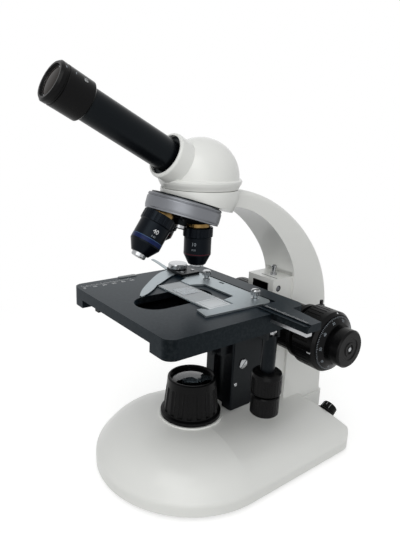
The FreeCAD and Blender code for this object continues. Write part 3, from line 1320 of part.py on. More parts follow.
def make_finger():
    """Curved sprung finger that holds the slide, with its thumb lever."""
    z = finger_bottom()
    thick = FINGER_THICKNESS
    outline = Outline("xy", z, -59.5, 34.0)
    outline.arc(-66.5, 36.0, -72.5, 30.0)
    outline.curve([(-72.0, 16.0), (-61.3, -3.0), (-43.9, -23.5), (-27.5, -40.5), (-19.5, -46.8)])
    outline.arc(-16.5, -47.6, -15.6, -45.4)
    outline.curve([(-22.9, -33.0), (-35.0, -18.6)])
    outline.line(-38.2, -12.5)
    outline.curve([(-50.0, 6.0), (-56.0, 18.0), (-59.5, 34.0)])
    blade = outline.face().extrude(vec(0, 0, thick))
    lever = Outline("xy", z, -72.0, 20.0)
    lever.curve([(-84.0, 22.3), (-100.0, 26.0), (-116.0, 28.6)])
    lever.arc(-117.6, 30.2, -116.0, 31.8)
    lever.curve([(-100.0, 29.6), (-84.0, 26.3), (-70.0, 26.0)])
    lever = lever.face().extrude(vec(0, 0, thick))
    finger = blade.fuse(lever).removeSplitter()
    return finger.cut(rod(2.0 + RUN, z - 1.0, z + 4.0, FINGER_PIVOT_X, FINGER_PIVOT_Y))


def make_finger_bridge():
    """Black bridge plate over the finger, screwed to the slide holder."""
    z = bridge_bottom()
    outline = Outline("xy", z, -74.5, 19.5)
    outline.line(-43.5, 17.5)
    outline.line(-44.0, 40.5)
    outline.line(-74.5, 40.5)
    plate = outline.face().extrude(vec(0, 0, BRIDGE_THICKNESS))
    plate = rounded(plate, 2.0, is_upright)
    leg = block(-74.0, -48.0, 37.5, 40.5, BAR_STEP_TOP + SEAT, z + 1.0)
    plate = plate.fuse(leg)
    return plate.cut([rod(2.0 + SEAT, z - 3.0, z + 5.0, FINGER_PIVOT_X, FINGER_PIVOT_Y)])


def make_finger_pivot():
    """Bright flat-topped pivot button of the finger."""
    z = bridge_bottom() + BRIDGE_THICKNESS
    low = finger_bottom() + 0.2
    button = turned([(0.0, low), (2.0, low), (2.0, z + SEAT), (9.2, z + SEAT), (9.8, z + 0.8),
                     (9.8, z + 4.4), (9.0, z + 5.4), (0.0, z + 5.6)])
    button.translate(vec(FINGER_PIVOT_X, FINGER_PIVOT_Y, 0))
    return button


def make_drive_housing():
    """Housing of the coaxial stage drive, hung under the moving top."""
    top = lower_plate_top() + AIR - SEAT
    shelf_top = lower_plate_top() - LOWER_PLATE_THICKNESS - 3.6 - 2.0
    shelf = rounded_block(DRIVE_X - 8.0, STAGE_RIGHT - SKIRT_WALL - 0.1, DRIVE_Y - 8.0, DRIVE_Y + 8.0,
                          shelf_top - 4.0,
                          shelf_top, 3.0)
    wall = block(STAGE_RIGHT - SKIRT_WALL - 3.1, STAGE_RIGHT - SKIRT_WALL - 0.1, DRIVE_Y - 8.0, DRIVE_Y + 8.0,
                 shelf_top - 4.0, top)
    tube = rod(DRIVE_HOUSING_RADIUS, Y_KNOB_TOP + AIR, shelf_top - 1.0, DRIVE_X, DRIVE_Y)
    body = shelf.fuse([wall, tube])
    room = rod(DRIVE_PITCH + 1.2, shelf_top, top + 1.0, DRIVE_X, DRIVE_Y)
    bore = rod(DRIVE_TUBE_RADIUS + RUN, 0.0, top + 1.0, DRIVE_X, DRIVE_Y)
    return body.cut([room, bore])


def make_y_shaft():
    """Hollow shaft with the lengthwise pinion at its top."""
    gear_bottom = lower_plate_top() - LOWER_PLATE_THICKNESS - 3.6 - 0.4
    gear = pinion(DRIVE_MODULE, DRIVE_TEETH, 4.0, 0.0)
    gear.translate(vec(DRIVE_X, DRIVE_Y, gear_bottom))
    tube = rod(DRIVE_TUBE_RADIUS - 0.6, gear_bottom, gear_bottom + 4.4, DRIVE_X, DRIVE_Y)
    lower = rod(DRIVE_TUBE_RADIUS, Y_KNOB_BOTTOM + 4.0, gear_bottom, DRIVE_X, DRIVE_Y)
    shaft = gear.fuse([tube, lower])
    return shaft.cut(rod(DRIVE_SHAFT_RADIUS + RUN, 0.0, 200.0, DRIVE_X, DRIVE_Y))


def make_y_knob():
    """Upper drive knob, for the lengthwise motion."""
    bore = DRIVE_TUBE_RADIUS + SEAT
    r = Y_KNOB_RADIUS
    knob = turned([(bore, Y_KNOB_BOTTOM), (r - 1.0, Y_KNOB_BOTTOM), (r, Y_KNOB_BOTTOM + 1.0),
                   (r, Y_KNOB_TOP - 4.0),
                   (r - 0.8, Y_KNOB_TOP - 1.0), (r - 2.0, Y_KNOB_TOP), (bore, Y_KNOB_TOP)])
    knob = fluted(knob, 28, r + 0.4, 0.75, Y_KNOB_BOTTOM + 2.0, Y_KNOB_TOP - 5.0)
    knob.translate(vec(DRIVE_X, DRIVE_Y, 0))
    return knob


def make_x_shaft():
    """Inner shaft with the crosswise pinion at its top."""
    top = STAGE_TOP - BAR_KEEL - 0.3
    bottom = top - RAIL_THICKNESS
    gear = pinion(DRIVE_MODULE, DRIVE_TEETH, RAIL_THICKNESS, 0.0)
    gear.rotate(vec(0, 0, 0), UP, 90)
    gear.translate(vec(DRIVE_X, DRIVE_Y, bottom))
    return gear.fuse(rod(DRIVE_SHAFT_RADIUS, X_KNOB_BOTTOM + 4.0, bottom, DRIVE_X, DRIVE_Y))


def make_x_knob():
    """Lower drive knob, for the crosswise motion."""
    bore = DRIVE_SHAFT_RADIUS + SEAT
    r = X_KNOB_RADIUS
    knob = turned([(bore, X_KNOB_BOTTOM + 2.0), (4.0, X_KNOB_BOTTOM), (r - 1.0, X_KNOB_BOTTOM),
                   (r, X_KNOB_BOTTOM + 1.0), (r, X_KNOB_TOP - 1.0), (r - 1.0, X_KNOB_TOP),
                   (bore, X_KNOB_TOP)])
    knob = fluted(knob, 26, r + 0.4, 0.75, X_KNOB_BOTTOM + 2.0, X_KNOB_TOP - 2.0)
    knob.translate(vec(DRIVE_X, DRIVE_Y, 0))
    return knob


# Condenser

def make_condenser_carrier():
    """Carrier that holds the condenser in the channel of the bracket."""
    ring_bottom = CONDENSER_BOTTOM + 6.0
    ring_top = ring_bottom + 7.0
    ring = rod(CONDENSER_RADIUS + 4.0, ring_bottom, ring_top)
    neck = block(-7.4, 7.4, CONDENSER_RADIUS, BRACKET_FRONT + 5.0 - SEAT, ring_bottom - 28.0, ring_top)
    foot = block(-14.0, 14.0, CONDENSER_RADIUS + 6.0, BRACKET_FRONT - SEAT, ring_bottom - 28.0, ring_top)
    body = ring.fuse([neck, foot])
    return body.cut(rod(CONDENSER_RADIUS + SEAT, ring_bottom - 40.0, ring_top + 1.0))


def make_condenser():
    """Condenser body with the iris housing at its lower end."""
    body = turned([(CONDENSER_BORE, CONDENSER_BOTTOM), (CONDENSER_RADIUS - 1.0, CONDENSER_BOTTOM),
                   (CONDENSER_RADIUS, CONDENSER_BOTTOM + 1.0), (CONDENSER_RADIUS, CONDENSER_TOP - 12.0),
                   (CONDENSER_RADIUS - 1.0, CONDENSER_TOP - 10.5), (CONDENSER_BORE + 2.5, CONDENSER_TOP),
                   (9.5, CONDENSER_TOP), (9.5, CONDENSER_TOP - 3.0), (CONDENSER_BORE, CONDENSER_TOP - 6.0)])
    slot = block(-30.0, 0.0, -14.0, 8.0, CONDENSER_BOTTOM + 2.0, CONDENSER_BOTTOM + 4.0)
    return body.cut(slot)


def make_condenser_lens():
    """Top lens of the condenser."""
    return rod(9.4, CONDENSER_TOP - 2.9, CONDENSER_TOP - 0.5)


def make_iris_lever():
    """Iris ring with its lever through the slot of the condenser."""
    z0 = CONDENSER_BOTTOM + 2.4
    z1 = CONDENSER_BOTTOM + 3.6
    ring = rod(CONDENSER_BORE + 2.4, z0, z1).cut(rod(7.0, z0 - 1.0, z1 + 1.0))
    slot_ring = ring.common(rod(CONDENSER_BORE - RUN, z0 - 1.0, z1 + 1.0))
    arm = block(-26.0, -7.5, -4.4, -1.6, z0, z1)
    tip = rod(2.6, z0 - 3.0, z1 + 1.0, -27.5, -3.0)
    return slot_ring.fuse([arm, tip])


# Lamp

def make_lamp_housing():
    """Fluted black cone round the lamp lens."""
    body = turned([(LAMP_LENS_RADIUS - 2.0, LAMP_SEAT + SEAT), (LAMP_FLANGE_RADIUS, LAMP_SEAT + SEAT),
                   (LAMP_FLANGE_RADIUS, LAMP_SEAT + 3.4), (LAMP_FLANGE_RADIUS - 2.6, LAMP_SEAT + 4.4),
                   (LAMP_RIM_RADIUS + 0.3, LAMP_TOP - 5.0), (LAMP_RIM_RADIUS, LAMP_TOP - 1.0),
                   (LAMP_RIM_RADIUS - 1.0, LAMP_TOP), (LAMP_LENS_RADIUS + 1.2, LAMP_TOP),
                   (LAMP_LENS_RADIUS + SEAT, LAMP_TOP - 1.6), (LAMP_LENS_RADIUS + SEAT, LAMP_TOP - 6.0),
                   (LAMP_LENS_RADIUS - 2.0, LAMP_TOP - 6.0)])
    lean = math.degrees(math.atan2(LAMP_FLANGE_RADIUS - 2.6 - LAMP_RIM_RADIUS, LAMP_TOP - LAMP_SEAT - 9.0))
    cuts = []
    for index in range(18):
        groove = rod(3.4, LAMP_SEAT + 6.0, LAMP_TOP - 8.0)
        groove.rotate(vec(0, 0, LAMP_SEAT), vec(0, 1, 0), -lean)
        groove.translate(vec(LAMP_FLANGE_RADIUS + 0.15, 0, 0))
        groove.rotate(vec(0, 0, 0), UP, 20.0 * index)
        cuts.append(groove)
    return body.cut(cuts)


def make_lamp_lens():
    """Collector lens under the rim of the lamp housing."""
    return lens(LAMP_LENS_RADIUS, LAMP_TOP - 6.0 + SEAT, LAMP_TOP - 3.6, 3.0)


def make_lamp_board():
    """Round lamp board on the crown of the base, with its light source."""
    z = LAMP_SEAT + SEAT
    return turned([(0.0, z), (LAMP_BOARD_RADIUS, z), (LAMP_BOARD_RADIUS, z + 1.6), (5.0, z + 1.6),
                   (5.0, z + 2.8),
                   (3.5, z + 4.6), (0.0, z + 5.2)])


# Controls on the rear slope

def to_slope(shape, x):
    """Place a shape drawn on the rear slope, its +Z pointing outward."""
    return aimed(shape, slope_point(x), slope_direction())


def make_dimmer_knob():
    """Brightness knob with a skirt and its spindle through the wall."""
    inside = -BASE_WALL - 4.0
    knob = turned([(DIMMER_SHAFT_RADIUS, AIR), (DIMMER_SKIRT_RADIUS, AIR), (DIMMER_SKIRT_RADIUS, AIR + 1.2),
                   (DIMMER_RADIUS, AIR + 2.2), (DIMMER_RADIUS - 0.6, DIMMER_HEIGHT - 0.8),
                   (DIMMER_RADIUS - 1.4, DIMMER_HEIGHT), (0.0, DIMMER_HEIGHT), (0.0, inside),
                   (DIMMER_SHAFT_RADIUS, inside)])
    knob = fluted(knob, 18, DIMMER_RADIUS + 0.2, 0.7, AIR + 2.4, DIMMER_HEIGHT + 1.0)
    return to_slope(knob, DIMMER_X)


def make_switch_body():
    """Frame of the power switch in the rear slope."""
    half_l = 0.5 * SWITCH_LENGTH
    half_w = 0.5 * SWITCH_WIDTH
    flange = rounded_block(-half_l, half_l, -half_w, half_w, SEAT + 0.3, 1.8, 1.5)
    well = switch_box(0.0, -9.0, 0.6)
    room = switch_box(-SWITCH_WALL, -6.0, 4.0)
    return to_slope(flange.fuse(well).cut([room, rocker_pin(RUN, half_w)]), SWITCH_X)


def rocker_pin(grow, half_length):
    """Return the hinge pin of the rocker, or its bearing hole."""
    pin = Part.makeCylinder(ROCKER_PIN_RADIUS + grow, 2.0 * half_length, vec(0, -half_length, 0),
                            vec(0, 1, 0))
    pin.translate(vec(0, 0, ROCKER_PIN_DEPTH))
    return pin


def make_rocker():
    """Rocker key of the power switch, with its two hinge pins."""
    half_l = 0.5 * SWITCH_LENGTH - 2.0 - SWITCH_WALL - 1.0
    half_w = 0.5 * SWITCH_WIDTH - 1.0 - SWITCH_WALL - 0.3
    key = Outline("xz", -half_w, -half_l, 0.8)
    key.line(-half_l + 0.4, -2.0)
    key.line(half_l - 0.4, -2.0)
    key.line(half_l, 2.6)
    key.arc(0.0, 0.9, -half_l, 0.8)
    key = key.face().extrude(vec(0, 2.0 * half_w, 0))
    return to_slope(key.fuse(rocker_pin(0.0, half_w + SWITCH_WALL)), SWITCH_X)


def make_power_socket():
    """Round low-voltage socket in the rear slope."""
    body = turned([(0.0, -10.0), (POWER_RADIUS, -10.0), (POWER_RADIUS, SEAT + 0.3), (6.4, SEAT + 0.3),
                   (6.4, 1.4),
                   (3.0, 1.4), (3.0, -8.5), (1.2, -8.5), (1.2, 0.4), (0.0, 0.4)])
    return to_slope(body, POWER_X)


def group(shapes):
    """Return several like solids as one node's shape."""
    return Part.makeCompound([solid for shape in shapes for solid in shape.Solids])


def build_pieces():
    """Return every piece by the name of its node."""
    pieces = {
        "base_shell": make_base_shell(),
        "base_cover": make_base_plate(),
        "rubber_feet": make_feet(),
        "base_screws": group([make_foot_screws(), make_arm_bolts()]),
        "arm": make_arm(),
        "lamp_housing": make_lamp_housing(),
        "lamp_lens": make_lamp_lens(),
        "lamp_board": make_lamp_board(),
        "dimmer_knob": make_dimmer_knob(),
        "switch_frame": make_switch_body(),
        "switch_rocker": make_rocker(),
        "power_socket": make_power_socket(),
        "nosepiece_mount": make_nose_mount(),
        "nosepiece_pivot": make_nose_pivot(),
        "nosepiece_ring": make_nose_ring(),
        "nosepiece_turret": make_turret(),
        "port_plug": make_port_plug(),
        "head": make_head(),
        "eyepiece_tube": make_tube(),
        "prism": make_prism(),
        "eyepiece_body": make_eyepiece_body(),
        "eyepiece_sleeve": make_eyepiece_sleeve(),
        "eyepiece_lenses": group([make_eye_lens(), make_field_lens()]),
        "focus_housing": make_focus_housing(),
        "stop_screw": make_stop_screw(),
        "shaft_bushes": make_shaft_bushes(),
        "focus_slide": make_focus_slide(),
        "focus_rack": make_focus_rack(),
        "coarse_shaft": make_coarse_shaft(),
        "coarse_knobs": group([make_coarse_knob(1.0), make_coarse_knob(-1.0)]),
        "fine_shaft": make_fine_shaft(),
        "fine_knobs": group([make_fine_knob(1.0), make_fine_knob(-1.0)]),
        "tension_ring": make_tension_ring(),
        "coarse_stop_lever": make_lock_lever(),
        "stage_bracket": make_bracket(),
        "lower_stage_plate": make_lower_plate(),
        "stage_y_rack": make_y_rack(),
        "upper_stage_plate": make_upper_plate(),
        "stage_guides": make_guides(),
        "cross_bar": make_cross_bar(),
        "stage_x_rack": make_x_rack(),
        "slide_holder": make_holder_plate(),
        "holder_screws": group([make_thumb_screws(), make_finger_pivot()]),
        "specimen_slide": make_specimen_slide(),
        "slide_finger": make_finger(),
        "finger_bridge": make_finger_bridge(),
        "drive_housing": make_drive_housing(),
        "y_drive_shaft": make_y_shaft(),
        "y_drive_knob": make_y_knob(),
        "x_drive_shaft": make_x_shaft(),
        "x_drive_knob": make_x_knob(),
        "condenser_carrier": make_condenser_carrier(),
        "condenser": make_condenser(),
        "condenser_lens": make_condenser_lens(),
        "iris_lever": make_iris_lever(),
    }
    fitted = objectives()
    for name, (objective, port) in fitted.items():
        pieces["objective_" + name] = to_port(objective.barrel(), port)
    pieces["objective_collars"] = group([to_port(one.collar(), port) for one, port in fitted.values()])
    pieces["objective_noses"] = group([to_port(one.nose(), port) for one, port in fitted.values()])
    return pieces


def main():
    """Build and write every piece."""
    os.makedirs("parts", exist_ok=True)
    for name, shape in build_pieces().items():
        save(name, shape)


main()
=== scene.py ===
"""Student microscope: finishes, trim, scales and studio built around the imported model.

Everything is in metres in the model's own frame: the origin is on the table under the
optical axis, Z points up, the user sits on the -Y side and the arm stands on the +Y side.
"""

from __future__ import annotations

import json
import logging
import math
from dataclasses import dataclass, replace
from enum import Enum
from typing import Iterable, Sequence

import bmesh
import bpy
from mathutils import Matrix, Vector

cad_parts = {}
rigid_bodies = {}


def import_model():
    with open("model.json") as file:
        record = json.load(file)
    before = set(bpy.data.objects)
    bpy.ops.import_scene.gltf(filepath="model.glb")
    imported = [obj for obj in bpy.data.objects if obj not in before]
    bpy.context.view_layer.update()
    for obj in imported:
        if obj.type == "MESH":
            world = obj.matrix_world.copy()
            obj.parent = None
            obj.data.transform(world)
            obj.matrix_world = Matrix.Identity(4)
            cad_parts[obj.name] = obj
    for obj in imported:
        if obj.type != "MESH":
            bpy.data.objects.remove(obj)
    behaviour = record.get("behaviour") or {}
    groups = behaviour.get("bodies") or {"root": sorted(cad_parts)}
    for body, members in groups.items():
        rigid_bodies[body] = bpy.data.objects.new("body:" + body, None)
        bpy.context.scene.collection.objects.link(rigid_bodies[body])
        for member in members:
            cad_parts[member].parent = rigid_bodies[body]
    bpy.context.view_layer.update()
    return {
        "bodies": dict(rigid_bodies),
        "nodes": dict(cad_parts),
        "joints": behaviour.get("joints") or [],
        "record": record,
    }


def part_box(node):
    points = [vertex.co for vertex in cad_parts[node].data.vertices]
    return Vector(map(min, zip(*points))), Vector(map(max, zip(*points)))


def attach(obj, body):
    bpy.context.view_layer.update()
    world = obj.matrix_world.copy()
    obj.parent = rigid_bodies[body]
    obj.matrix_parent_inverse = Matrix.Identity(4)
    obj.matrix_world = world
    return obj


LOG = logging.getLogger("microscope")

MM = 0.001

Colour = tuple[float, float, float]

NORMAL = {"Normal": "Vector"}
MASK = {"Mask": "Float"}
NOWHERE = (0.0, 0.0, 0.0)
COAT_ROUGHNESS = 0.12
GLASS_INDEX = 1.5
DUST_COLOUR: Colour = (0.55, 0.54, 0.50)
# Near-black colour of the painted shade inside the focus housing's recesses.
RECESS_SHADE_COLOUR: Colour = (0.004, 0.004, 0.005)


# Shader graphs


class Graph:
    """Adds nodes to one node tree and joins their sockets."""

    def __init__(self, tree: bpy.types.NodeTree) -> None:
        """Keep the tree that the nodes go in."""
        self.tree = tree

    def add(self, kind: str, values: dict | None = None, **settings: object) -> bpy.types.Node:
        """Add one node.

        Args:
            kind: The node's type name.
            values: Socket values, or sockets to join, by input name or number.
            settings: Attributes of the node, set before its sockets.

        Returns:
            The new node.
        """
        node = self.tree.nodes.new(kind)
        for name, value in settings.items():
            setattr(node, name, value)
        for name, value in (values or {}).items():
            if isinstance(value, bpy.types.NodeSocket):
                self.tree.links.new(value, node.inputs[name])
            else:
                node.inputs[name].default_value = value
        return node

    def join(self, source: bpy.types.NodeSocket, target: bpy.types.NodeSocket) -> None:
        """Link one socket to another."""
        self.tree.links.new(source, target)

    def sum(self, kind: str, *operands: object) -> bpy.types.NodeSocket:
        """Add a Math node and return its output."""
        values = dict(enumerate(operands))
        return self.add("ShaderNodeMath", values, operation=kind).outputs[0]

    def ramp(self, value: bpy.types.NodeSocket, low: float, high: float) -> bpy.types.NodeSocket:
        """Map a value from low..high to a smooth 0..1."""
        values = {"Value": value, "From Min": low, "From Max": high}
        return self.add("ShaderNodeMapRange", values, interpolation_type="SMOOTHSTEP").outputs[0]

    def place(self) -> bpy.types.NodeSocket:
        """Return the place on the part, in its own coordinates."""
        return self.add("ShaderNodeTexCoord").outputs["Object"]

    def noise(self, scale: object, detail: float, roughness: float = 0.5) -> bpy.types.NodeSocket:
        """Return noise over the part's own coordinates."""
        values = {"Vector": self.place(), "Scale": scale, "Detail": detail, "Roughness": roughness}
        return self.add("ShaderNodeTexNoise", values).outputs["Fac"]

    def bump(self, height: object, strength: object, reach: object) -> bpy.types.NodeSocket:
        """Return the normal that a height gives."""
        return self.add("ShaderNodeBump", {"Height": height, "Strength": strength, "Distance": reach}).outputs[0]

    def share(self, mask: object, amount: object) -> bpy.types.NodeSocket:
        """Return a mask times an amount, kept within 0 and 1."""
        return self.add("ShaderNodeMath", {0: mask, 1: amount}, operation="MULTIPLY", use_clamp=True).outputs[0]

    def vector(self, kind: str, first: object, second: object) -> bpy.types.NodeSocket:
        """Add a Vector Math node and return its output."""
        return self.add("ShaderNodeVectorMath", {0: first, 1: second}, operation=kind).outputs[0]


class Effect(Enum):
    """The shared surface effects, each one node group, by the method that builds it."""

    DRIFT = "tone_drift"
    GRAIN = "fine_grain"
    WEAR = "edge_wear"
    DUST = "settled_dust"
    BRUSHED = "brushed_lines"
    ORANGE_PEEL = "enamel_ripple"
    RECESS = "unpainted_recess"


class EffectLibrary:
    """Builds each shared effect once and hands out its node group."""

    def __init__(self) -> None:
        """Start with no groups built."""
        self.groups: dict[Effect, bpy.types.NodeTree] = {}

    def get(self, effect: Effect) -> bpy.types.NodeTree:
        """Return the effect's node group, building it the first time."""
        if effect not in self.groups:
            self.groups[effect] = getattr(self, effect.value)()
        return self.groups[effect]

    def use(self, graph: Graph, effect: Effect, values: dict) -> bpy.types.bpy_prop_collection:
        """Place an effect in a material with its own values and return its outputs."""
        return graph.add("ShaderNodeGroup", values, node_tree=self.get(effect)).outputs

    @staticmethod
    def start(effect: Effect, inputs: dict[str, float | tuple], outputs: dict[str, str]) -> tuple:
        """Open a new group.

        Args:
            effect: The effect that names the group.
            inputs: Default of each input: a number, a vector of 3 or a colour of 4.
            outputs: Kind of each output: Float, Vector or Color.

        Returns:
            The group, its graph helper, the values that come in and the sockets that go out.
        """
        group = bpy.data.node_groups.new(effect.value, "ShaderNodeTree")
        for name, default in inputs.items():
            kind = {3: "Vector", 4: "Color"}[len(default)] if isinstance(default, tuple) else "Float"
            socket = group.interface.new_socket(name=name, in_out="INPUT", socket_type="NodeSocket" + kind)
            socket.default_value = default
        for name, kind in outputs.items():
            group.interface.new_socket(name=name, in_out="OUTPUT", socket_type="NodeSocket" + kind)
        graph = Graph(group)
        return group, graph, graph.add("NodeGroupInput").outputs, graph.add("NodeGroupOutput").inputs

    def tone_drift(self) -> bpy.types.NodeTree:
        """Slow changes of tone, and the matching change of gloss."""
        group, graph, given, out = self.start(
            Effect.DRIFT,
            {"Color": (0.5, 0.5, 0.5, 1.0), "Amount": 0.05, "Scale": 40.0, "Gloss": 0.4, "Gloss Spread": 0.05},
            {"Color": "Color", "Roughness": "Float"})
        centred = graph.sum("SUBTRACT", graph.noise(given["Scale"], 3.0, 0.6), 0.5)
        shift = graph.sum("MULTIPLY_ADD", centred, given["Amount"], 1.0)
        mix = graph.add("ShaderNodeVectorMath", {0: given["Color"], "Scale": shift}, operation="SCALE")
        graph.join(mix.outputs[0], out["Color"])
        fine = graph.noise(graph.sum("MULTIPLY", given["Scale"], 7.0), 5.0, 0.7)
        gloss_shift = graph.sum("SUBTRACT", fine, 0.5)
        gloss = graph.sum("MULTIPLY_ADD", gloss_shift, given["Gloss Spread"], given["Gloss"])
        graph.join(gloss, out["Roughness"])
        return group

    def fine_grain(self) -> bpy.types.NodeTree:
        """Grain of moulded plastic or satin metal, as a normal."""
        group, graph, given, out = self.start(
            Effect.GRAIN, {"Scale": 2500.0, "Depth": 0.2, "Reach": 0.05 * MM}, NORMAL)
        noise = graph.noise(given["Scale"], 4.0, 0.65)
        graph.join(graph.bump(noise, given["Depth"], given["Reach"]), out["Normal"])
        return group

    def edge_wear(self) -> bpy.types.NodeTree:
        """Mask of the worn outer edges, broken up by noise."""
        group, graph, given, out = self.start(Effect.WEAR, {"Amount": 0.3, "Scale": 350.0}, MASK)
        sharp = graph.ramp(graph.add("ShaderNodeNewGeometry").outputs["Pointiness"], 0.53, 0.66)
        broken = graph.ramp(graph.noise(given["Scale"], 6.0, 0.7), 0.42, 0.62)
        mask = graph.sum("MULTIPLY", sharp, broken)
        graph.join(graph.share(mask, given["Amount"]), out["Mask"])
        return group

    def settled_dust(self) -> bpy.types.NodeTree:
        """Mask of light dust on faces that look up."""
        group, graph, given, out = self.start(Effect.DUST, {"Amount": 0.1, "Scale": 500.0}, MASK)
        normal = graph.add("ShaderNodeNewGeometry").outputs["Normal"]
        up = graph.add("ShaderNodeSeparateXYZ", {0: normal}).outputs["Z"]
        facing = graph.ramp(up, 0.55, 1.0)
        specks = graph.ramp(graph.noise(given["Scale"], 8.0, 0.75), 0.45, 0.8)
        mask = graph.sum("MULTIPLY", facing, specks)
        graph.join(graph.share(mask, given["Amount"]), out["Mask"])
        return group

    def brushed_lines(self) -> bpy.types.NodeTree:
        """Fine drawn lines along one direction, as a normal."""
        group, graph, given, out = self.start(
            Effect.BRUSHED, {"Stretch": (60.0, 4000.0, 4000.0), "Depth": 0.1}, NORMAL)
        drawn = graph.vector("MULTIPLY", graph.place(), given["Stretch"])
        noise = graph.add("ShaderNodeTexNoise", {"Vector": drawn, "Scale": 1.0, "Detail": 3.0}).outputs["Fac"]
        graph.join(graph.bump(noise, given["Depth"], 0.03 * MM), out["Normal"])
        return group

    def enamel_ripple(self) -> bpy.types.NodeTree:
        """The soft ripple of sprayed enamel over a casting."""
        group, graph, given, out = self.start(Effect.ORANGE_PEEL, {"Scale": 450.0, "Depth": 0.1}, NORMAL)
        ripple = graph.noise(given["Scale"], 1.5)
        graph.join(graph.bump(ripple, given["Depth"], 0.2 * MM), out["Normal"])
        return group

    def unpainted_recess(self) -> bpy.types.NodeTree:
        """Mask of what lies inside one upright box, in the part's own place; it places painted shade in a recess.
        """
        group, graph, given, out = self.start(Effect.RECESS, {"Low": NOWHERE, "High": NOWHERE}, MASK)
        place = graph.place()
        above = graph.vector("SUBTRACT", place, given["Low"])
        below = graph.vector("SUBTRACT", given["High"], place)
        parts = graph.add("ShaderNodeSeparateXYZ", {0: graph.vector("MINIMUM", above, below)}).outputs
        least = graph.sum("MINIMUM", graph.sum("MINIMUM", parts["X"], parts["Y"]), parts["Z"])
        graph.join(graph.sum("GREATER_THAN", least, 0.0), out["Mask"])
        return group


class Surface(Enum):
    """How a finish breaks up its surface."""

    ENAMEL = "enamel"
    GRAINED = "grained"
    DRAWN_X = "drawn along X"
    DRAWN_Z = "drawn along Z"


@dataclass(frozen=True)
class Finish:
    """One opaque finish: its colours and how its surface breaks up.

    Args:
        name: The material's name.
        slot: The record's slot that it stands for; not used.
        color: Base colour.
        roughness: Middle roughness.
        surface: How the surface breaks up.
        metallic: 1 for bare metal.
        coat: Weight of a clear coat.
        specular: Specular level, lower for a flat paint.
        reflection: Tint of what a paint reflects.
        sheen: Weight of the soft glow at a low angle.
        sheen_tint: Colour of that glow.
        drift: Share by which the tone drifts.
        spread: How much the roughness changes.
        grain: Size of the grain, in features per metre.
        depth: Strength of the grain or ripple.
        worn: Colour that shows where edges are worn.
        wear: How much the edges are worn.
        dust: How much dust lies on top.
        recesses: Low and high corners of the boxes inside which painted shade makes the finish near black, in
            millimetres.
    """

    name: str
    slot: str
    color: Colour
    roughness: float
    surface: Surface = Surface.GRAINED
    metallic: float = 0.0
    coat: float = 0.0
    specular: float = 0.5
    reflection: Colour = (1.0, 1.0, 1.0)
    sheen: float = 0.0
    sheen_tint: Colour = (1.0, 1.0, 1.0)
    drift: float = 0.08
    spread: float = 0.10
    grain: float = 2600.0
    depth: float = 0.25
    worn: Colour = (0.35, 0.35, 0.36)
    wear: float = 0.0
    dust: float = 0.0
    recesses: tuple[tuple[Colour, Colour], ...] = ()

    def build(self, effects: EffectLibrary) -> bpy.types.Material:
        """Make the material.

        Args:
            effects: The shared node groups.

        Returns:
            The finished material.
        """
        material = bpy.data.materials.new(self.name)
        material.use_nodes = True
        material.diffuse_color = (*self.color, 1.0)
        graph = Graph(material.node_tree)
        shader = material.node_tree.nodes["Principled BSDF"]
        settings = {"Metallic": self.metallic, "Coat Weight": self.coat, "Coat Roughness": COAT_ROUGHNESS,
                    "Specular IOR Level": self.specular, "Specular Tint": (*self.reflection, 1.0),
                    "Sheen Weight": self.sheen, "Sheen Tint": (*self.sheen_tint, 1.0)}
        for name, value in settings.items():
            shader.inputs[name].default_value = value
        drift = effects.use(graph, Effect.DRIFT, {"Color": (*self.color, 1.0), "Amount": self.drift,
                                                  "Gloss": self.roughness, "Gloss Spread": self.spread})
        color = drift["Color"]
        if self.wear > 0.0:
            mask = effects.use(graph, Effect.WEAR, {"Amount": self.wear})["Mask"]
            color = self.mixed(graph, mask, color, self.worn)
        if self.dust > 0.0:
            mask = effects.use(graph, Effect.DUST, {"Amount": self.dust})["Mask"]
            color = self.mixed(graph, mask, color, DUST_COLOUR)
        # Painted shade: each box darkens the finish to near black where a recess lies in shadow.
        for low, high in self.recesses:
            mask = effects.use(graph, Effect.RECESS, {"Low": [value * MM for value in low],
                                                      "High": [value * MM for value in high]})["Mask"]
            color = self.mixed(graph, mask, color, RECESS_SHADE_COLOUR)
        graph.join(color, shader.inputs["Base Color"])
        graph.join(drift["Roughness"], shader.inputs["Roughness"])
        graph.join(self.relief(graph, effects), shader.inputs["Normal"])
        return material

    @staticmethod
    def mixed(graph: Graph, mask: bpy.types.NodeSocket, under: bpy.types.NodeSocket,
              over: Colour) -> bpy.types.NodeSocket:
        """Lay a plain colour over another by a mask."""
        mix = graph.add("ShaderNodeMix", data_type="RGBA")
        graph.join(mask, mix.inputs["Factor"])
        graph.join(under, mix.inputs["A"])
        mix.inputs["B"].default_value = (*over, 1.0)
        return mix.outputs["Result"]

    def relief(self, graph: Graph, effects: EffectLibrary) -> bpy.types.NodeSocket:
        """Return the normal for this kind of surface."""
        if self.surface is Surface.ENAMEL:
            return effects.use(graph, Effect.ORANGE_PEEL, {"Depth": self.depth})["Normal"]
        if self.surface is Surface.GRAINED:
            return effects.use(graph, Effect.GRAIN, {"Scale": self.grain, "Depth": self.depth})["Normal"]
        along, across = 60.0, 5000.0
        stretch = (along, across, across) if self.surface is Surface.DRAWN_X else (across, across, along)
        return effects.use(graph, Effect.BRUSHED, {"Stretch": stretch, "Depth": self.depth})["Normal"]


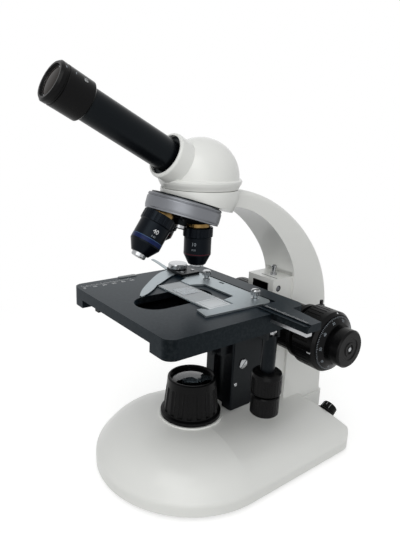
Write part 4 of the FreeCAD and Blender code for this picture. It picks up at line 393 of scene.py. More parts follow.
@dataclass(frozen=True)
class GlassFinish:
    """Clear or tinted glass with faint smears.

    Args:
        name: The material's name.
        slot: The record's slot that it stands for; not used.
        tint: Colour of the glass.
        transmission: How much light passes.
        roughness: Middle roughness.
        smears: How much the roughness changes.
        coat: Weight of a reflecting coat.
        specular: Specular level, lower for bloomed glass.
    """

    name: str
    slot: str
    tint: Colour
    transmission: float = 1.0
    roughness: float = 0.03
    smears: float = 0.05
    coat: float = 0.0
    specular: float = 0.5

    def build(self, effects: EffectLibrary) -> bpy.types.Material:
        """Make the material.

        Args:
            effects: The shared node groups.

        Returns:
            The finished material.
        """
        material = bpy.data.materials.new(self.name)
        material.use_nodes = True
        graph = Graph(material.node_tree)
        shader = material.node_tree.nodes["Principled BSDF"]
        settings = {"Transmission Weight": self.transmission, "IOR": GLASS_INDEX, "Coat Weight": self.coat,
                    "Specular IOR Level": self.specular}
        for name, value in settings.items():
            shader.inputs[name].default_value = value
        drift = effects.use(graph, Effect.DRIFT, {"Color": (*self.tint, 1.0), "Amount": 0.02, "Scale": 90.0,
                                                  "Gloss": self.roughness, "Gloss Spread": self.smears})
        graph.join(drift["Color"], shader.inputs["Base Color"])
        graph.join(drift["Roughness"], shader.inputs["Roughness"])
        return material


class Look(Enum):
    """Every finish of the microscope."""

    WHITE = Finish("white_enamel", "white_paint", (0.77, 0.775, 0.75), 0.36, Surface.ENAMEL, coat=0.25,
                   specular=0.4, drift=0.02, spread=0.05, depth=0.05, worn=(0.55, 0.55, 0.53), wear=0.05, dust=0.03)
    # Painted shade: near-black boxes in the dovetail way, in the slot above the block and round the gib screw.
    HOUSING_WHITE = replace(WHITE, name="housing_enamel_with_painted_shade", dust=0.0,
                            recesses=(((-14.7, 83.9, 62.3), (14.7, 112.0, 168.2)),
                                      ((-6.3, 90.0, 171.5), (15.8, 91.6, 172.62)),
                                      ((16.0, 87.6, 159.4), (17.9, 94.6, 166.4))))
    STAGE_BLACK = Finish("stage_enamel", "black_paint", (0.0020, 0.0019, 0.0018), 0.35, specular=0.10,
                         reflection=(0.56, 0.84, 1.0), sheen=0.055, sheen_tint=(0.26, 0.62, 0.98), drift=0.05,
                         spread=0.03, grain=2200.0, depth=0.08, worn=(0.10, 0.11, 0.12), wear=0.10, dust=0.003)
    BLACK = Finish("satin_black_enamel", "black_paint", (0.0022, 0.0026, 0.0036), 0.30, specular=0.13,
                   reflection=(0.78, 0.92, 1.0), drift=0.05, spread=0.03, depth=0.08, worn=(0.06, 0.06, 0.065),
                   wear=0.08)
    PLASTIC = Finish("black_moulded_plastic", "black_plastic", (0.0030, 0.0030, 0.0033), 0.28, specular=0.10,
                     drift=0.05, spread=0.05, grain=3200.0, depth=0.12, worn=(0.06, 0.06, 0.063), wear=0.10)
    OBJECTIVE = Finish("objective_black", "black_paint", (0.0015, 0.0020, 0.0036), 0.30, specular=0.11,
                       reflection=(0.70, 0.85, 1.0), drift=0.05, spread=0.03, grain=3800.0, depth=0.04,
                       worn=(0.08, 0.08, 0.09), wear=0.10)
    SILVER = Finish("satin_silver", "satin_silver", (0.295, 0.335, 0.355), 0.40, metallic=1.0, drift=0.05,
                    spread=0.05, grain=3400.0, depth=0.12, worn=(0.60, 0.61, 0.62), wear=0.10)
    RING = Finish("drawn_aluminium", "satin_silver", (0.185, 0.192, 0.208), 0.42, Surface.DRAWN_Z, metallic=1.0,
                  drift=0.06, depth=0.16, worn=(0.42, 0.43, 0.45), wear=0.30)
    STEEL = Finish("machined_steel", "steel", (0.46, 0.465, 0.48), 0.32, Surface.DRAWN_X, metallic=1.0, drift=0.10,
                   depth=0.20, worn=(0.75, 0.75, 0.76), wear=0.2)
    CHROME = Finish("chrome_plate", "chrome", (0.38, 0.39, 0.40), 0.20, metallic=1.0, drift=0.04, spread=0.05,
                    grain=3000.0, depth=0.03)
    BRASS = Finish("turned_brass", "brass", (0.20, 0.125, 0.045), 0.26, Surface.DRAWN_Z, metallic=1.0, drift=0.10,
                   depth=0.12, worn=(0.62, 0.48, 0.24), wear=0.2)
    RUBBER = Finish("foot_rubber", "rubber", (0.020, 0.020, 0.020), 0.72, specular=0.25, drift=0.3, grain=1800.0,
                    depth=0.4, dust=0.1)
    LAMP = Finish("lamp_board", "lamp_white", (0.74, 0.72, 0.58), 0.5, grain=2400.0, depth=0.15)
    MARKING = Finish("white_marking", "white_paint", (0.74, 0.75, 0.76), 0.5, specular=0.3, depth=0.10)
    FAINT_MARKING = replace(MARKING, name="grey_marking", color=(0.26, 0.29, 0.32))
    BLUE_BAND = Finish("blue_band", "black_plastic", (0.002, 0.009, 0.060), 0.30, specular=0.12, depth=0.08)
    PALE_BAND = Finish("pale_blue_band", "black_plastic", (0.04, 0.08, 0.17), 0.34, specular=0.12, depth=0.08)
    RED_BAND = replace(PALE_BAND, name="dark_red_band", color=(0.055, 0.004, 0.010))
    LABEL = Finish("paper_label", "white_paint", (0.74, 0.77, 0.79), 0.70, specular=0.3, drift=0.06, grain=1500.0,
                   depth=0.3)
    LABEL_LINE = replace(LABEL, name="label_print", color=(0.30, 0.33, 0.36), depth=0.2)
    GLASS = GlassFinish("clear_glass", "clear_glass", (0.93, 0.97, 0.96))
    SLIDE = GlassFinish("slide_glass", "clear_glass", (0.42, 0.48, 0.51), transmission=0.55, roughness=0.14,
                        specular=0.35)
    LENS = GlassFinish("coated_lens", "clear_glass", (0.50, 0.42, 0.36), roughness=0.01, smears=0.02, coat=0.3)
    # Painted shade: the opaque near-black crown stands for the dark inside of the tube seen through the glass.
    EYE_LENS = Finish("eye_lens_painted_shade", "clear_glass", (0.012, 0.008, 0.006), 0.07, specular=0.05, drift=0.2,
                      spread=0.02, grain=300.0, depth=0.01)
    COVER = GlassFinish("cover_glass", "clear_glass", (0.60, 0.66, 0.70), transmission=0.9, roughness=0.10,
                        specular=0.3)
    LAMP_LENS = GlassFinish("lamp_lens_glass", "clear_glass", (0.05, 0.062, 0.070), roughness=0.05, smears=0.05,
                            specular=0.28)
    INDEX_GREY = Finish("index_plate_grey", "black_paint", (0.055, 0.065, 0.072), 0.36, specular=0.4, drift=0.05,
                        spread=0.05, depth=0.08, worn=(0.30, 0.31, 0.33), wear=0.3)


NODES_BY_LOOK: dict[Look, str] = {
    Look.WHITE: "base_shell arm head",
    Look.BLACK: "base_cover nosepiece_mount nosepiece_turret eyepiece_tube focus_slide stage_bracket "
                "lower_stage_plate stage_guides finger_bridge drive_housing condenser_carrier condenser",
    Look.RUBBER: "rubber_feet",
    Look.STEEL: "base_screws nosepiece_pivot focus_rack coarse_shaft stage_y_rack stage_x_rack y_drive_shaft "
                "x_drive_shaft iris_lever",
    Look.PLASTIC: "lamp_housing dimmer_knob switch_frame switch_rocker power_socket port_plug eyepiece_body "
                  "coarse_knobs fine_knobs tension_ring coarse_stop_lever y_drive_knob x_drive_knob",
    Look.LAMP_LENS: "lamp_lens",
    Look.LAMP: "lamp_board",
    Look.RING: "nosepiece_ring",
    Look.GLASS: "prism",
    Look.SILVER: "eyepiece_sleeve slide_holder slide_finger",
    Look.LENS: "eyepiece_lenses condenser_lens",
    Look.HOUSING_WHITE: "focus_housing",
    Look.CHROME: "stop_screw fine_shaft holder_screws objective_noses",
    Look.BRASS: "shaft_bushes objective_collars",
    Look.STAGE_BLACK: "upper_stage_plate cross_bar",
    Look.SLIDE: "specimen_slide",
    Look.OBJECTIVE: "objective_4x objective_10x objective_40x",
}
NODE_LOOKS = {node: look for look, nodes in NODES_BY_LOOK.items() for node in nodes.split()}


class Wardrobe:
    """Builds each finish once and puts it on nodes and pieces."""

    def __init__(self) -> None:
        """Start with no finish built."""
        self.effects = EffectLibrary()
        self.made: dict[Look, bpy.types.Material] = {}

    def material(self, look: Look) -> bpy.types.Material:
        """Return a look's material, building it the first time."""
        if look not in self.made:
            self.made[look] = look.value.build(self.effects)
        return self.made[look]

    def dress(self, thing: bpy.types.Object, look: Look) -> None:
        """Give one object one finish."""
        material = self.material(look)
        if not thing.data.materials:
            thing.data.materials.append(material)
        for index in range(len(thing.data.materials)):
            thing.data.materials[index] = material

    def dress_nodes(self, nodes: dict[str, bpy.types.Object]) -> None:
        """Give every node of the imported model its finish."""
        for name, node in nodes.items():
            self.dress(node, NODE_LOOKS[name])
            LOG.info("node %s: %s", name, NODE_LOOKS[name].value.name)


# Mesh making


class Workshop:
    """Makes meshes and fixes each piece to a body with its finish."""

    def __init__(self, wardrobe: Wardrobe) -> None:
        """Keep the wardrobe that the pieces are dressed from."""
        self.wardrobe = wardrobe

    def piece(self, name: str, mesh: bpy.types.Mesh, body: str, look: Look,
              place: Matrix | None = None) -> bpy.types.Object:
        """Put a mesh in the scene as a piece of a body.

        Args:
            name: The piece's name.
            mesh: Its mesh.
            body: The body that it rides on.
            look: Its finish.
            place: Where it goes, if its mesh isn't already in place.

        Returns:
            The new object.
        """
        if place is not None:
            mesh.transform(place)
        thing = bpy.data.objects.new(name, mesh)
        bpy.context.scene.collection.objects.link(thing)
        self.wardrobe.dress(thing, look)
        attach(thing, body)
        LOG.info("piece %s on %s: %s", name, body, look.value.name)
        return thing

    def group(self, name: str, meshes: Sequence[bpy.types.Mesh], body: str, look: Look,
              place: Matrix | None = None) -> None:
        """Join several meshes into one piece of a body."""
        self.piece(name, self.joined(name, meshes), body, look, place)

    @staticmethod
    def lathe(name: str, outline: Sequence[tuple[float, float]], steps: int = 64) -> bpy.types.Mesh:
        """Turn a closed or open outline about Z.

        Args:
            name: The mesh's name.
            outline: (radius, height) points in metres.
            steps: How many steps go round.

        Returns:
            The turned mesh, smooth with sharp corners kept.
        """
        made = bmesh.new()
        rings = []
        for radius, height in outline:
            if radius <= 0.0:
                rings.append([made.verts.new((0.0, 0.0, height))])
                continue
            ring = []
            for step in range(steps):
                angle = 2.0 * math.pi * step / steps
                ring.append(made.verts.new((radius * math.cos(angle), radius * math.sin(angle), height)))
            rings.append(ring)
        for lower, upper in zip(rings, rings[1:]):
            for step in range(steps):
                after = (step + 1) % steps
                if len(lower) == 1 and len(upper) == 1:
                    continue
                if len(lower) == 1:
                    made.faces.new((lower[0], upper[after], upper[step]))
                elif len(upper) == 1:
                    made.faces.new((lower[step], lower[after], upper[0]))
                else:
                    made.faces.new((lower[step], lower[after], upper[after], upper[step]))
        bmesh.ops.recalc_face_normals(made, faces=made.faces)
        return Workshop.finished(name, made)

    @staticmethod
    def finished(name: str, made: bmesh.types.BMesh, angle: float = 35.0) -> bpy.types.Mesh:
        """Write a bmesh to a mesh that is smooth except at its sharp edges."""
        for face in made.faces:
            face.smooth = True
        for edge in made.edges:
            if len(edge.link_faces) == 2 and edge.calc_face_angle(0.0) > math.radians(angle):
                edge.smooth = False
        mesh = bpy.data.meshes.new(name)
        made.to_mesh(mesh)
        made.free()
        return mesh

    @staticmethod
    def slab(name: str, outline: Iterable[tuple[float, float]], low: float, high: float,
             bevel: float = 0.0) -> bpy.types.Mesh:
        """Raise a flat outline to a slab between two heights, with bevelled edges."""
        made = bmesh.new()
        floor = [made.verts.new((x, y, low)) for x, y in outline]
        face = made.faces.new(floor)
        raised = bmesh.ops.extrude_face_region(made, geom=[face])
        for vert in raised["geom"]:
            if isinstance(vert, bmesh.types.BMVert):
                vert.co.z = high
        bmesh.ops.recalc_face_normals(made, faces=made.faces)
        if bevel > 0.0:
            bmesh.ops.bevel(made, geom=list(made.edges), offset=bevel, segments=2, affect="EDGES", profile=0.5)
        return Workshop.finished(name, made)

    @staticmethod
    def rectangle(x0: float, x1: float, y0: float, y1: float) -> list[tuple[float, float]]:
        """Return the four corners of a rectangle."""
        return [(x0, y0), (x1, y0), (x1, y1), (x0, y1)]

    @staticmethod
    def joined(name: str, meshes: Sequence[bpy.types.Mesh]) -> bpy.types.Mesh:
        """Join several meshes into one."""
        made = bmesh.new()
        for mesh in meshes:
            made.from_mesh(mesh)
            bpy.data.meshes.remove(mesh)
        mesh = bpy.data.meshes.new(name)
        made.to_mesh(mesh)
        made.free()
        return mesh

    @staticmethod
    def words(text: str, height: float, depth: float) -> bpy.types.Mesh:
        """Return plain raised digits, centred on the origin in the XY plane.

        Args:
            text: The digits or signs.
            height: Their height in metres.
            depth: How far they stand out.

        Returns:
            The digits as a mesh.
        """
        curve = bpy.data.curves.new("digits", "FONT")
        curve.body = text
        curve.size = height * 1.38
        curve.align_x = "CENTER"
        curve.align_y = "CENTER"
        curve.extrude = depth
        curve.resolution_u = 3
        carrier = bpy.data.objects.new("digits", curve)
        bpy.context.scene.collection.objects.link(carrier)
        bpy.context.view_layer.update()
        mesh = bpy.data.meshes.new_from_object(carrier)
        bpy.data.objects.remove(carrier)
        mesh.materials.clear()
        return mesh


def aim(origin: Vector, along: Vector, turn: float = 0.0) -> Matrix:
    """Return the place that puts +Z along a direction at a point.

    Args:
        origin: Where the local origin goes.
        along: The direction of local +Z.
        turn: A turn about local Z, in radians.

    Returns:
        The place as a matrix.
    """
    spin = Matrix.Rotation(turn, 4, "Z")
    return Matrix.Translation(origin) @ along.normalized().to_track_quat("Z", "Y").to_matrix().to_4x4() @ spin


def framed(origin: Vector, right: Vector, up: Vector) -> Matrix:
    """Return the place with local X along right and local Y along up."""
    x = right.normalized()
    z = x.cross(up).normalized()
    return turned(origin, x, z.cross(x), z)


def turned(origin: Vector, x: Vector, y: Vector, z: Vector) -> Matrix:
    """Return the place with the three local axes given."""
    return Matrix.Translation(origin) @ Matrix((x, y, z)).transposed().to_4x4()


def spoke(angle: float) -> Vector:
    """Return the unit vector at an angle in the YZ plane."""
    return Vector((0.0, math.cos(angle), math.sin(angle)))


def graded(index: int, tenth: float, fifth: float, other: float) -> float:
    """Return the length of a scale's graduation: every tenth, every fifth or any other."""
    return tenth if index % 10 == 0 else (fifth if index % 5 == 0 else other)


class Joints:
    """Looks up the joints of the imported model."""

    def __init__(self, joints: Sequence[dict]) -> None:
        """Keep the joints by name."""
        self.by_name = {joint["name"]: joint for joint in joints}

    def point(self, name: str) -> Vector:
        """Return a hinge's point."""
        return Vector(self.by_name[name]["pos_m"])

    def axis(self, name: str) -> Vector:
        """Return a joint's axis."""
        return Vector(self.by_name[name]["axis"]).normalized()


@dataclass
class SlottedScrew:
    """A slotted screw head.

    Args:
        radius: Radius of the head.
        height: Height of the head.
        slot: Width of the slot.
    """

    radius: float
    height: float
    slot: float

    def mesh(self, name: str) -> bpy.types.Mesh:
        """Return the head, its top at the local height, with a slot cut by two half discs."""
        made = bmesh.new()
        halves = 20
        gap = self.slot * 0.5
        for side in (-1.0, 1.0):
            start = math.asin(gap / self.radius)
            rim = []
            for step in range(halves + 1):
                angle = start + (math.pi - 2.0 * start) * step / halves
                rim.append((self.radius * math.cos(angle), side * self.radius * math.sin(angle)))
            lower = [made.verts.new((x, y, 0.0)) for x, y in rim]
            edge = [made.verts.new((x, y, self.height * 0.75)) for x, y in rim]
            inner = 0.88
            upper = [made.verts.new((x * inner, side * max(abs(y) * inner, gap), self.height)) for x, y in rim]
            for first, second in ((lower, edge), (edge, upper)):
                for step in range(halves):
                    made.faces.new((first[step], first[step + 1], second[step + 1], second[step]))
                made.faces.new((first[-1], first[0], second[0], second[-1]))
            made.faces.new(upper)
        floor = [made.verts.new((self.radius * 0.96 * math.cos(2 * math.pi * step / 32),
                                 self.radius * 0.96 * math.sin(2 * math.pi * step / 32), self.height * 0.35))
                 for step in range(32)]
        made.faces.new(floor)
        bmesh.ops.recalc_face_normals(made, faces=made.faces)
        return Workshop.finished(name, made)


# Sub-assemblies


@dataclass(frozen=True)
class Barrel:
    """Where one objective hangs and how big its barrel is.

    Args:
        power: Its power, as the digits on it give it.
        aperture: Its aperture, as the smaller digits give it.
        port: Number of its port.
        radius: Radius of the plain barrel.
        length: Distance of its front lens from the seat.
        bearing: Direction in the table plane that its digits face, in radians.
        power_at: Distance of the large digits from the seat.
        power_height: Height of the large digits.
        aperture_at: Distance of the small digits from the seat.
        look: Finish of its digits.
    """

    power: str
    aperture: str
    port: int
    radius: float
    length: float
    bearing: float
    power_at: float
    power_height: float
    aperture_at: float
    look: Look


TOWARDS_CAMERA = math.radians(-39.0)

LOW_POWER = Barrel("4", "0.10", 1, 12.2 * MM, 27.0 * MM, math.radians(200.0), 14.6 * MM, 2.6 * MM, 18.9 * MM,
                   Look.MARKING)
MIDDLE_POWER = Barrel("10", "0.25", 0, 12.2 * MM, 41.0 * MM, TOWARDS_CAMERA - math.radians(15.0), 19.3 * MM,
                      3.2 * MM, 24.2 * MM, Look.FAINT_MARKING)
HIGH_POWER = Barrel("40", "0.65", 2, 13.2 * MM, 44.0 * MM, TOWARDS_CAMERA + math.radians(14.0), 20.6 * MM,
                    3.6 * MM, 24.9 * MM, Look.MARKING)

BANDS = (("band_40x", HIGH_POWER, 27.6, 30.6, Look.BLUE_BAND),
         ("band_line_40x", HIGH_POWER, 27.0, 27.5, Look.PALE_BAND),
         ("band_10x", MIDDLE_POWER, 28.2, 29.0, Look.RED_BAND),
         ("band_4x", LOW_POWER, 16.6, 17.4, Look.RED_BAND))


@dataclass
class Objectives:
    """Bands, digits and front lenses of the three objectives."""

    shop: Workshop
    joints: Joints
    tilt: float = math.radians(17.0)
    port_circle: float = 19.5 * MM
    band_depth: float = 0.06 * MM
    small_digits: float = 1.6 * MM
    lens_radius: float = 2.15 * MM

    def port(self, index: int) -> tuple[Vector, Vector]:
        """Return a port's seat point and the direction that its objective hangs in."""
        centre = self.joints.point("nosepiece_turn")
        up = self.joints.axis("nosepiece_turn")
        side = Vector((1.0, 0.0, 0.0))
        back = up.cross(side)
        angle = math.pi / 2.0 * index + math.pi / 2.0
        out = side * math.cos(angle) + back * math.sin(angle)
        down = -(up * math.cos(self.tilt)) + out * math.sin(self.tilt)
        return centre + out * self.port_circle, down.normalized()

    def band(self, name: str, barrel: Barrel, start: float, end: float, look: Look) -> None:
        """Lay a thin coloured band round a barrel."""
        seat, down = self.port(barrel.port)
        sunk = barrel.radius - 0.2 * MM
        raised = barrel.radius + self.band_depth
        outline = [(sunk, start), (raised, start), (raised, end), (sunk, end), (sunk, start)]
        self.shop.piece(name, self.shop.lathe(name, outline, 96), "nosepiece", look, aim(seat, down))

    def wrapped(self, name: str, barrel: Barrel, text: str, height: float, along: float, look: Look) -> None:
        """Wrap digits round a barrel.

        Args:
            name: The piece's name.
            barrel: The objective.
            text: The digits.
            height: Their height.
            along: Distance of their middle from the seat.
            look: Their finish.
        """
        seat, down = self.port(barrel.port)
        mesh = self.shop.words(text, height, 0.03 * MM)
        facing = Vector((math.cos(barrel.bearing), math.sin(barrel.bearing), 0.0))
        facing = (facing - down * facing.dot(down)).normalized()
        right = (-down).cross(facing).normalized()
        for vert in mesh.vertices:
            angle = vert.co.x / barrel.radius
            reach = barrel.radius + vert.co.z
            spot = seat + down * (along - vert.co.y)
            vert.co = spot + facing * (reach * math.cos(angle)) + right * (reach * math.sin(angle))
        self.shop.piece(name, mesh, "nosepiece", look)

    def front_lens(self, name: str, barrel: Barrel) -> None:
        """Set a small domed lens in an objective's nose."""
        seat, down = self.port(barrel.port)
        radius, length = self.lens_radius, barrel.length
        outline = [(radius, length - 2.0 * MM), (radius, length - 0.5 * MM), (radius * 0.7, length - 0.3 * MM),
                   (0.0, length - 0.22 * MM)]
        self.shop.piece(name, self.shop.lathe(name, outline, 32), "nosepiece", Look.LENS, aim(seat, down))

    def build(self) -> None:
        """Make every band, line of digits and lens."""
        for name, barrel, start, end, look in BANDS:
            self.band(name, barrel, start * MM, end * MM, look)
        for barrel in (LOW_POWER, MIDDLE_POWER, HIGH_POWER):
            self.wrapped(f"digits_{barrel.power}x", barrel, barrel.power, barrel.power_height, barrel.power_at,
                         barrel.look)
            self.wrapped(f"aperture_{barrel.power}x", barrel, barrel.aperture, self.small_digits,
                         barrel.aperture_at, Look.FAINT_MARKING)
            self.front_lens(f"lens_{barrel.power}x", barrel)


@dataclass
class EyepieceTrim:
    """The magnification and two short marks on the eyepiece, and the crown of its eye lens."""

    shop: Workshop
    joints: Joints
    crossing: float = 273.6 * MM
    radius: float = 15.4 * MM
    end: float = 148.0 * MM
    digits_at: float = 129.6 * MM
    digits_height: float = 3.0 * MM
    bearing: float = math.radians(46.0)
    marks_at: tuple[float, float] = (137.4 * MM, 144.9 * MM)
    mark_length: float = 2.0 * MM
    mark_width: float = 0.6 * MM
    lens_radius: float = 11.2 * MM
    lens_depth: float = 2.2 * MM
    lens_rise: float = 1.3 * MM

    def __post_init__(self) -> None:
        """Take the direction of the tube from its joint."""
        axis = self.joints.axis("eyepiece_turn")
        self.along = -axis if axis.y > 0.0 else axis
        self.side = Vector((1.0, 0.0, 0.0))
        self.top = self.side.cross(-self.along)
        self.centre = Vector((0.0, 0.0, self.crossing))

    def laid(self, mesh: bpy.types.Mesh, station: float) -> bpy.types.Mesh:
        """Wrap a flat mesh round the eyepiece.

        Args:
            mesh: The mesh, flat in the XY plane, its top towards the head.
            station: Distance from the crossing of the axes.

        Returns:
            The same mesh in place.
        """
        for vert in mesh.vertices:
            turn = self.bearing + vert.co.x / self.radius
            out = self.top * math.cos(turn) + self.side * math.sin(turn)
            vert.co = self.centre + self.along * (station - vert.co.y) + out * (self.radius + vert.co.z)
        return mesh

    def marks(self) -> None:
        """Make the digits and the short marks."""
        digits = self.laid(self.shop.words("10", self.digits_height, 0.03 * MM), self.digits_at)
        self.shop.piece("eyepiece_digits", digits, "eyepiece", Look.MARKING)
        half_length, half_width = self.mark_length * 0.5, self.mark_width * 0.5
        for number, station in enumerate(self.marks_at, 1):
            name = f"eyepiece_mark_{number}"
            outline = self.shop.rectangle(-half_length, half_length, -half_width, half_width)
            mark = self.laid(self.shop.slab(name, outline, 0.0, 0.06 * MM, 0.01 * MM), station)
            self.shop.piece(name, mark, "eyepiece", Look.FAINT_MARKING)

    def lens(self) -> None:
        """Make the domed crown of the eye lens, near black as painted shade of the tube's inside, and the bright
        ring that holds it.
        """
        steps = 10
        rim = self.end - self.lens_depth
        outline = [(0.0, rim - 2.4 * MM), (self.lens_radius - 0.9 * MM, rim - 2.4 * MM), (self.lens_radius, rim)]
        for step in range(1, steps + 1):
            angle = 0.5 * math.pi * step / steps
            outline.append((self.lens_radius * math.cos(angle) if step < steps else 0.0,
                            rim + self.lens_rise * math.sin(angle)))
        place = aim(self.centre, self.along)
        self.shop.piece("eye_lens_crown", self.shop.lathe("eye_lens_crown", outline, 72), "eyepiece",
                        Look.EYE_LENS, place)
        near, far = self.lens_radius - 0.55 * MM, self.lens_radius + 0.1 * MM
        ring = [(near, rim + 0.45 * MM), (far, rim + 0.2 * MM), (far, rim + 0.75 * MM), (near, rim + 0.95 * MM),
                (near, rim + 0.45 * MM)]
        self.shop.piece("eye_lens_ring", self.shop.lathe("eye_lens_ring", ring, 72), "eyepiece", Look.CHROME, place)

    def build(self) -> None:
        """Make the marks and the lens."""
        self.marks()
        self.lens()


@dataclass
class FocusDials:
    """Graduations and index marks of the focus knobs."""

    shop: Workshop
    joints: Joints
    right_face: float = 82.5 * MM
    left_face: float = -52.0 * MM
    dial_radius: float = 26.2 * MM
    bevel_drop: float = 6.4 * MM
    bevel_run: float = 3.6 * MM
    line_count: int = 100
    line_width: float = 0.30 * MM
    numeral: float = 2.5 * MM
    numeral_drop: float = 4.6 * MM
    knob_radius: float = 29.4 * MM
    index_angle: float = math.radians(190.0)
    dot_angle: float = math.radians(84.0)

    def rim_point(self, side: float, out: Vector, inset: float, radius: float) -> Vector:
        """Return a point at a radius about the shaft, a small distance in from the coarse knob's face."""
        face = self.right_face if side > 0 else self.left_face
        axis = self.joints.point("coarse_turn")
        return Vector((face - side * inset, axis.y, axis.z)) + out * radius

    def bevel(self, side: float, angle: float) -> tuple[Vector, Vector, Vector]:
        """Return the outer edge, the downhill direction and the normal of a dial's bevel at an angle."""
        out = spoke(angle)
        slope = (Vector((side * self.bevel_run, 0.0, 0.0)) - out * self.bevel_drop).normalized()
        normal = (out * self.bevel_run + Vector((side * self.bevel_drop, 0.0, 0.0))).normalized()
        return self.rim_point(side, out, -0.6 * MM, self.dial_radius), slope, normal

    def line(self, side: float, angle: float, length: float) -> bpy.types.Mesh:
        """Return one graduation on the bevel of a dial."""
        start, slope, normal = self.bevel(side, angle)
        half = self.line_width * 0.5
        mesh = self.shop.slab("line", self.shop.rectangle(0.0, length, -half, half), 0.0, 0.05 * MM)
        mesh.transform(turned(start + slope * (0.15 * MM), slope, normal.cross(slope), normal))
        return mesh

    def number(self, side: float, angle: float, text: str) -> bpy.types.Mesh:
        """Return one number on the bevel of a dial."""
        start, slope, normal = self.bevel(side, angle)
        mesh = self.shop.words(text, self.numeral, 0.04 * MM)
        mesh.transform(turned(start + slope * self.numeral_drop, (-slope).cross(normal), -slope, normal))
        return mesh

    def dial(self, side: float, label: str) -> None:
        """Lay the graduations and numbers on one fine dial."""
        step = 2.0 * math.pi / self.line_count
        meshes = [self.line(side, step * index, graded(index, 2.0, 1.6, 1.2) * MM)
                  for index in range(self.line_count)]
        meshes += [self.number(side, step * index, str(index)) for index in range(0, self.line_count, 10)]
        self.shop.group("dial_scale_" + label, meshes, "fine_focus", Look.FAINT_MARKING)

    def index_marks(self, side: float, label: str) -> None:
        """Put the white index line on the coarse knob's rim and a dot on its chamfer."""
        across, out = Vector((side, 0.0, 0.0)), spoke(self.index_angle)
        spot = self.rim_point(side, out, 5.2 * MM, self.knob_radius - 0.1 * MM)
        line = self.shop.slab("line", self.shop.rectangle(-2.1 * MM, 2.1 * MM, -0.5 * MM, 0.5 * MM), 0.0, 0.2 * MM,
                              0.05 * MM)
        self.shop.piece("index_line_" + label, line, "coarse_focus", Look.MARKING,
                        turned(spot, across, out.cross(across), out))
        out = spoke(self.dot_angle)
        spot = self.rim_point(side, out, 1.5 * MM, self.knob_radius - 1.2 * MM)
        dot = self.shop.lathe("dot", [(0.8 * MM, 0.0), (0.8 * MM, 0.2 * MM), (0.0, 0.25 * MM)], 24)
        self.shop.piece("index_dot_" + label, dot, "coarse_focus", Look.MARKING,
                        aim(spot, across * 2.2 + out * 3.0))

    def build(self) -> None:
        """Make both dials and the index marks of both knobs."""
        for side, label in ((1.0, "right"), (-1.0, "left")):
            self.dial(side, label)
            self.index_marks(side, label)


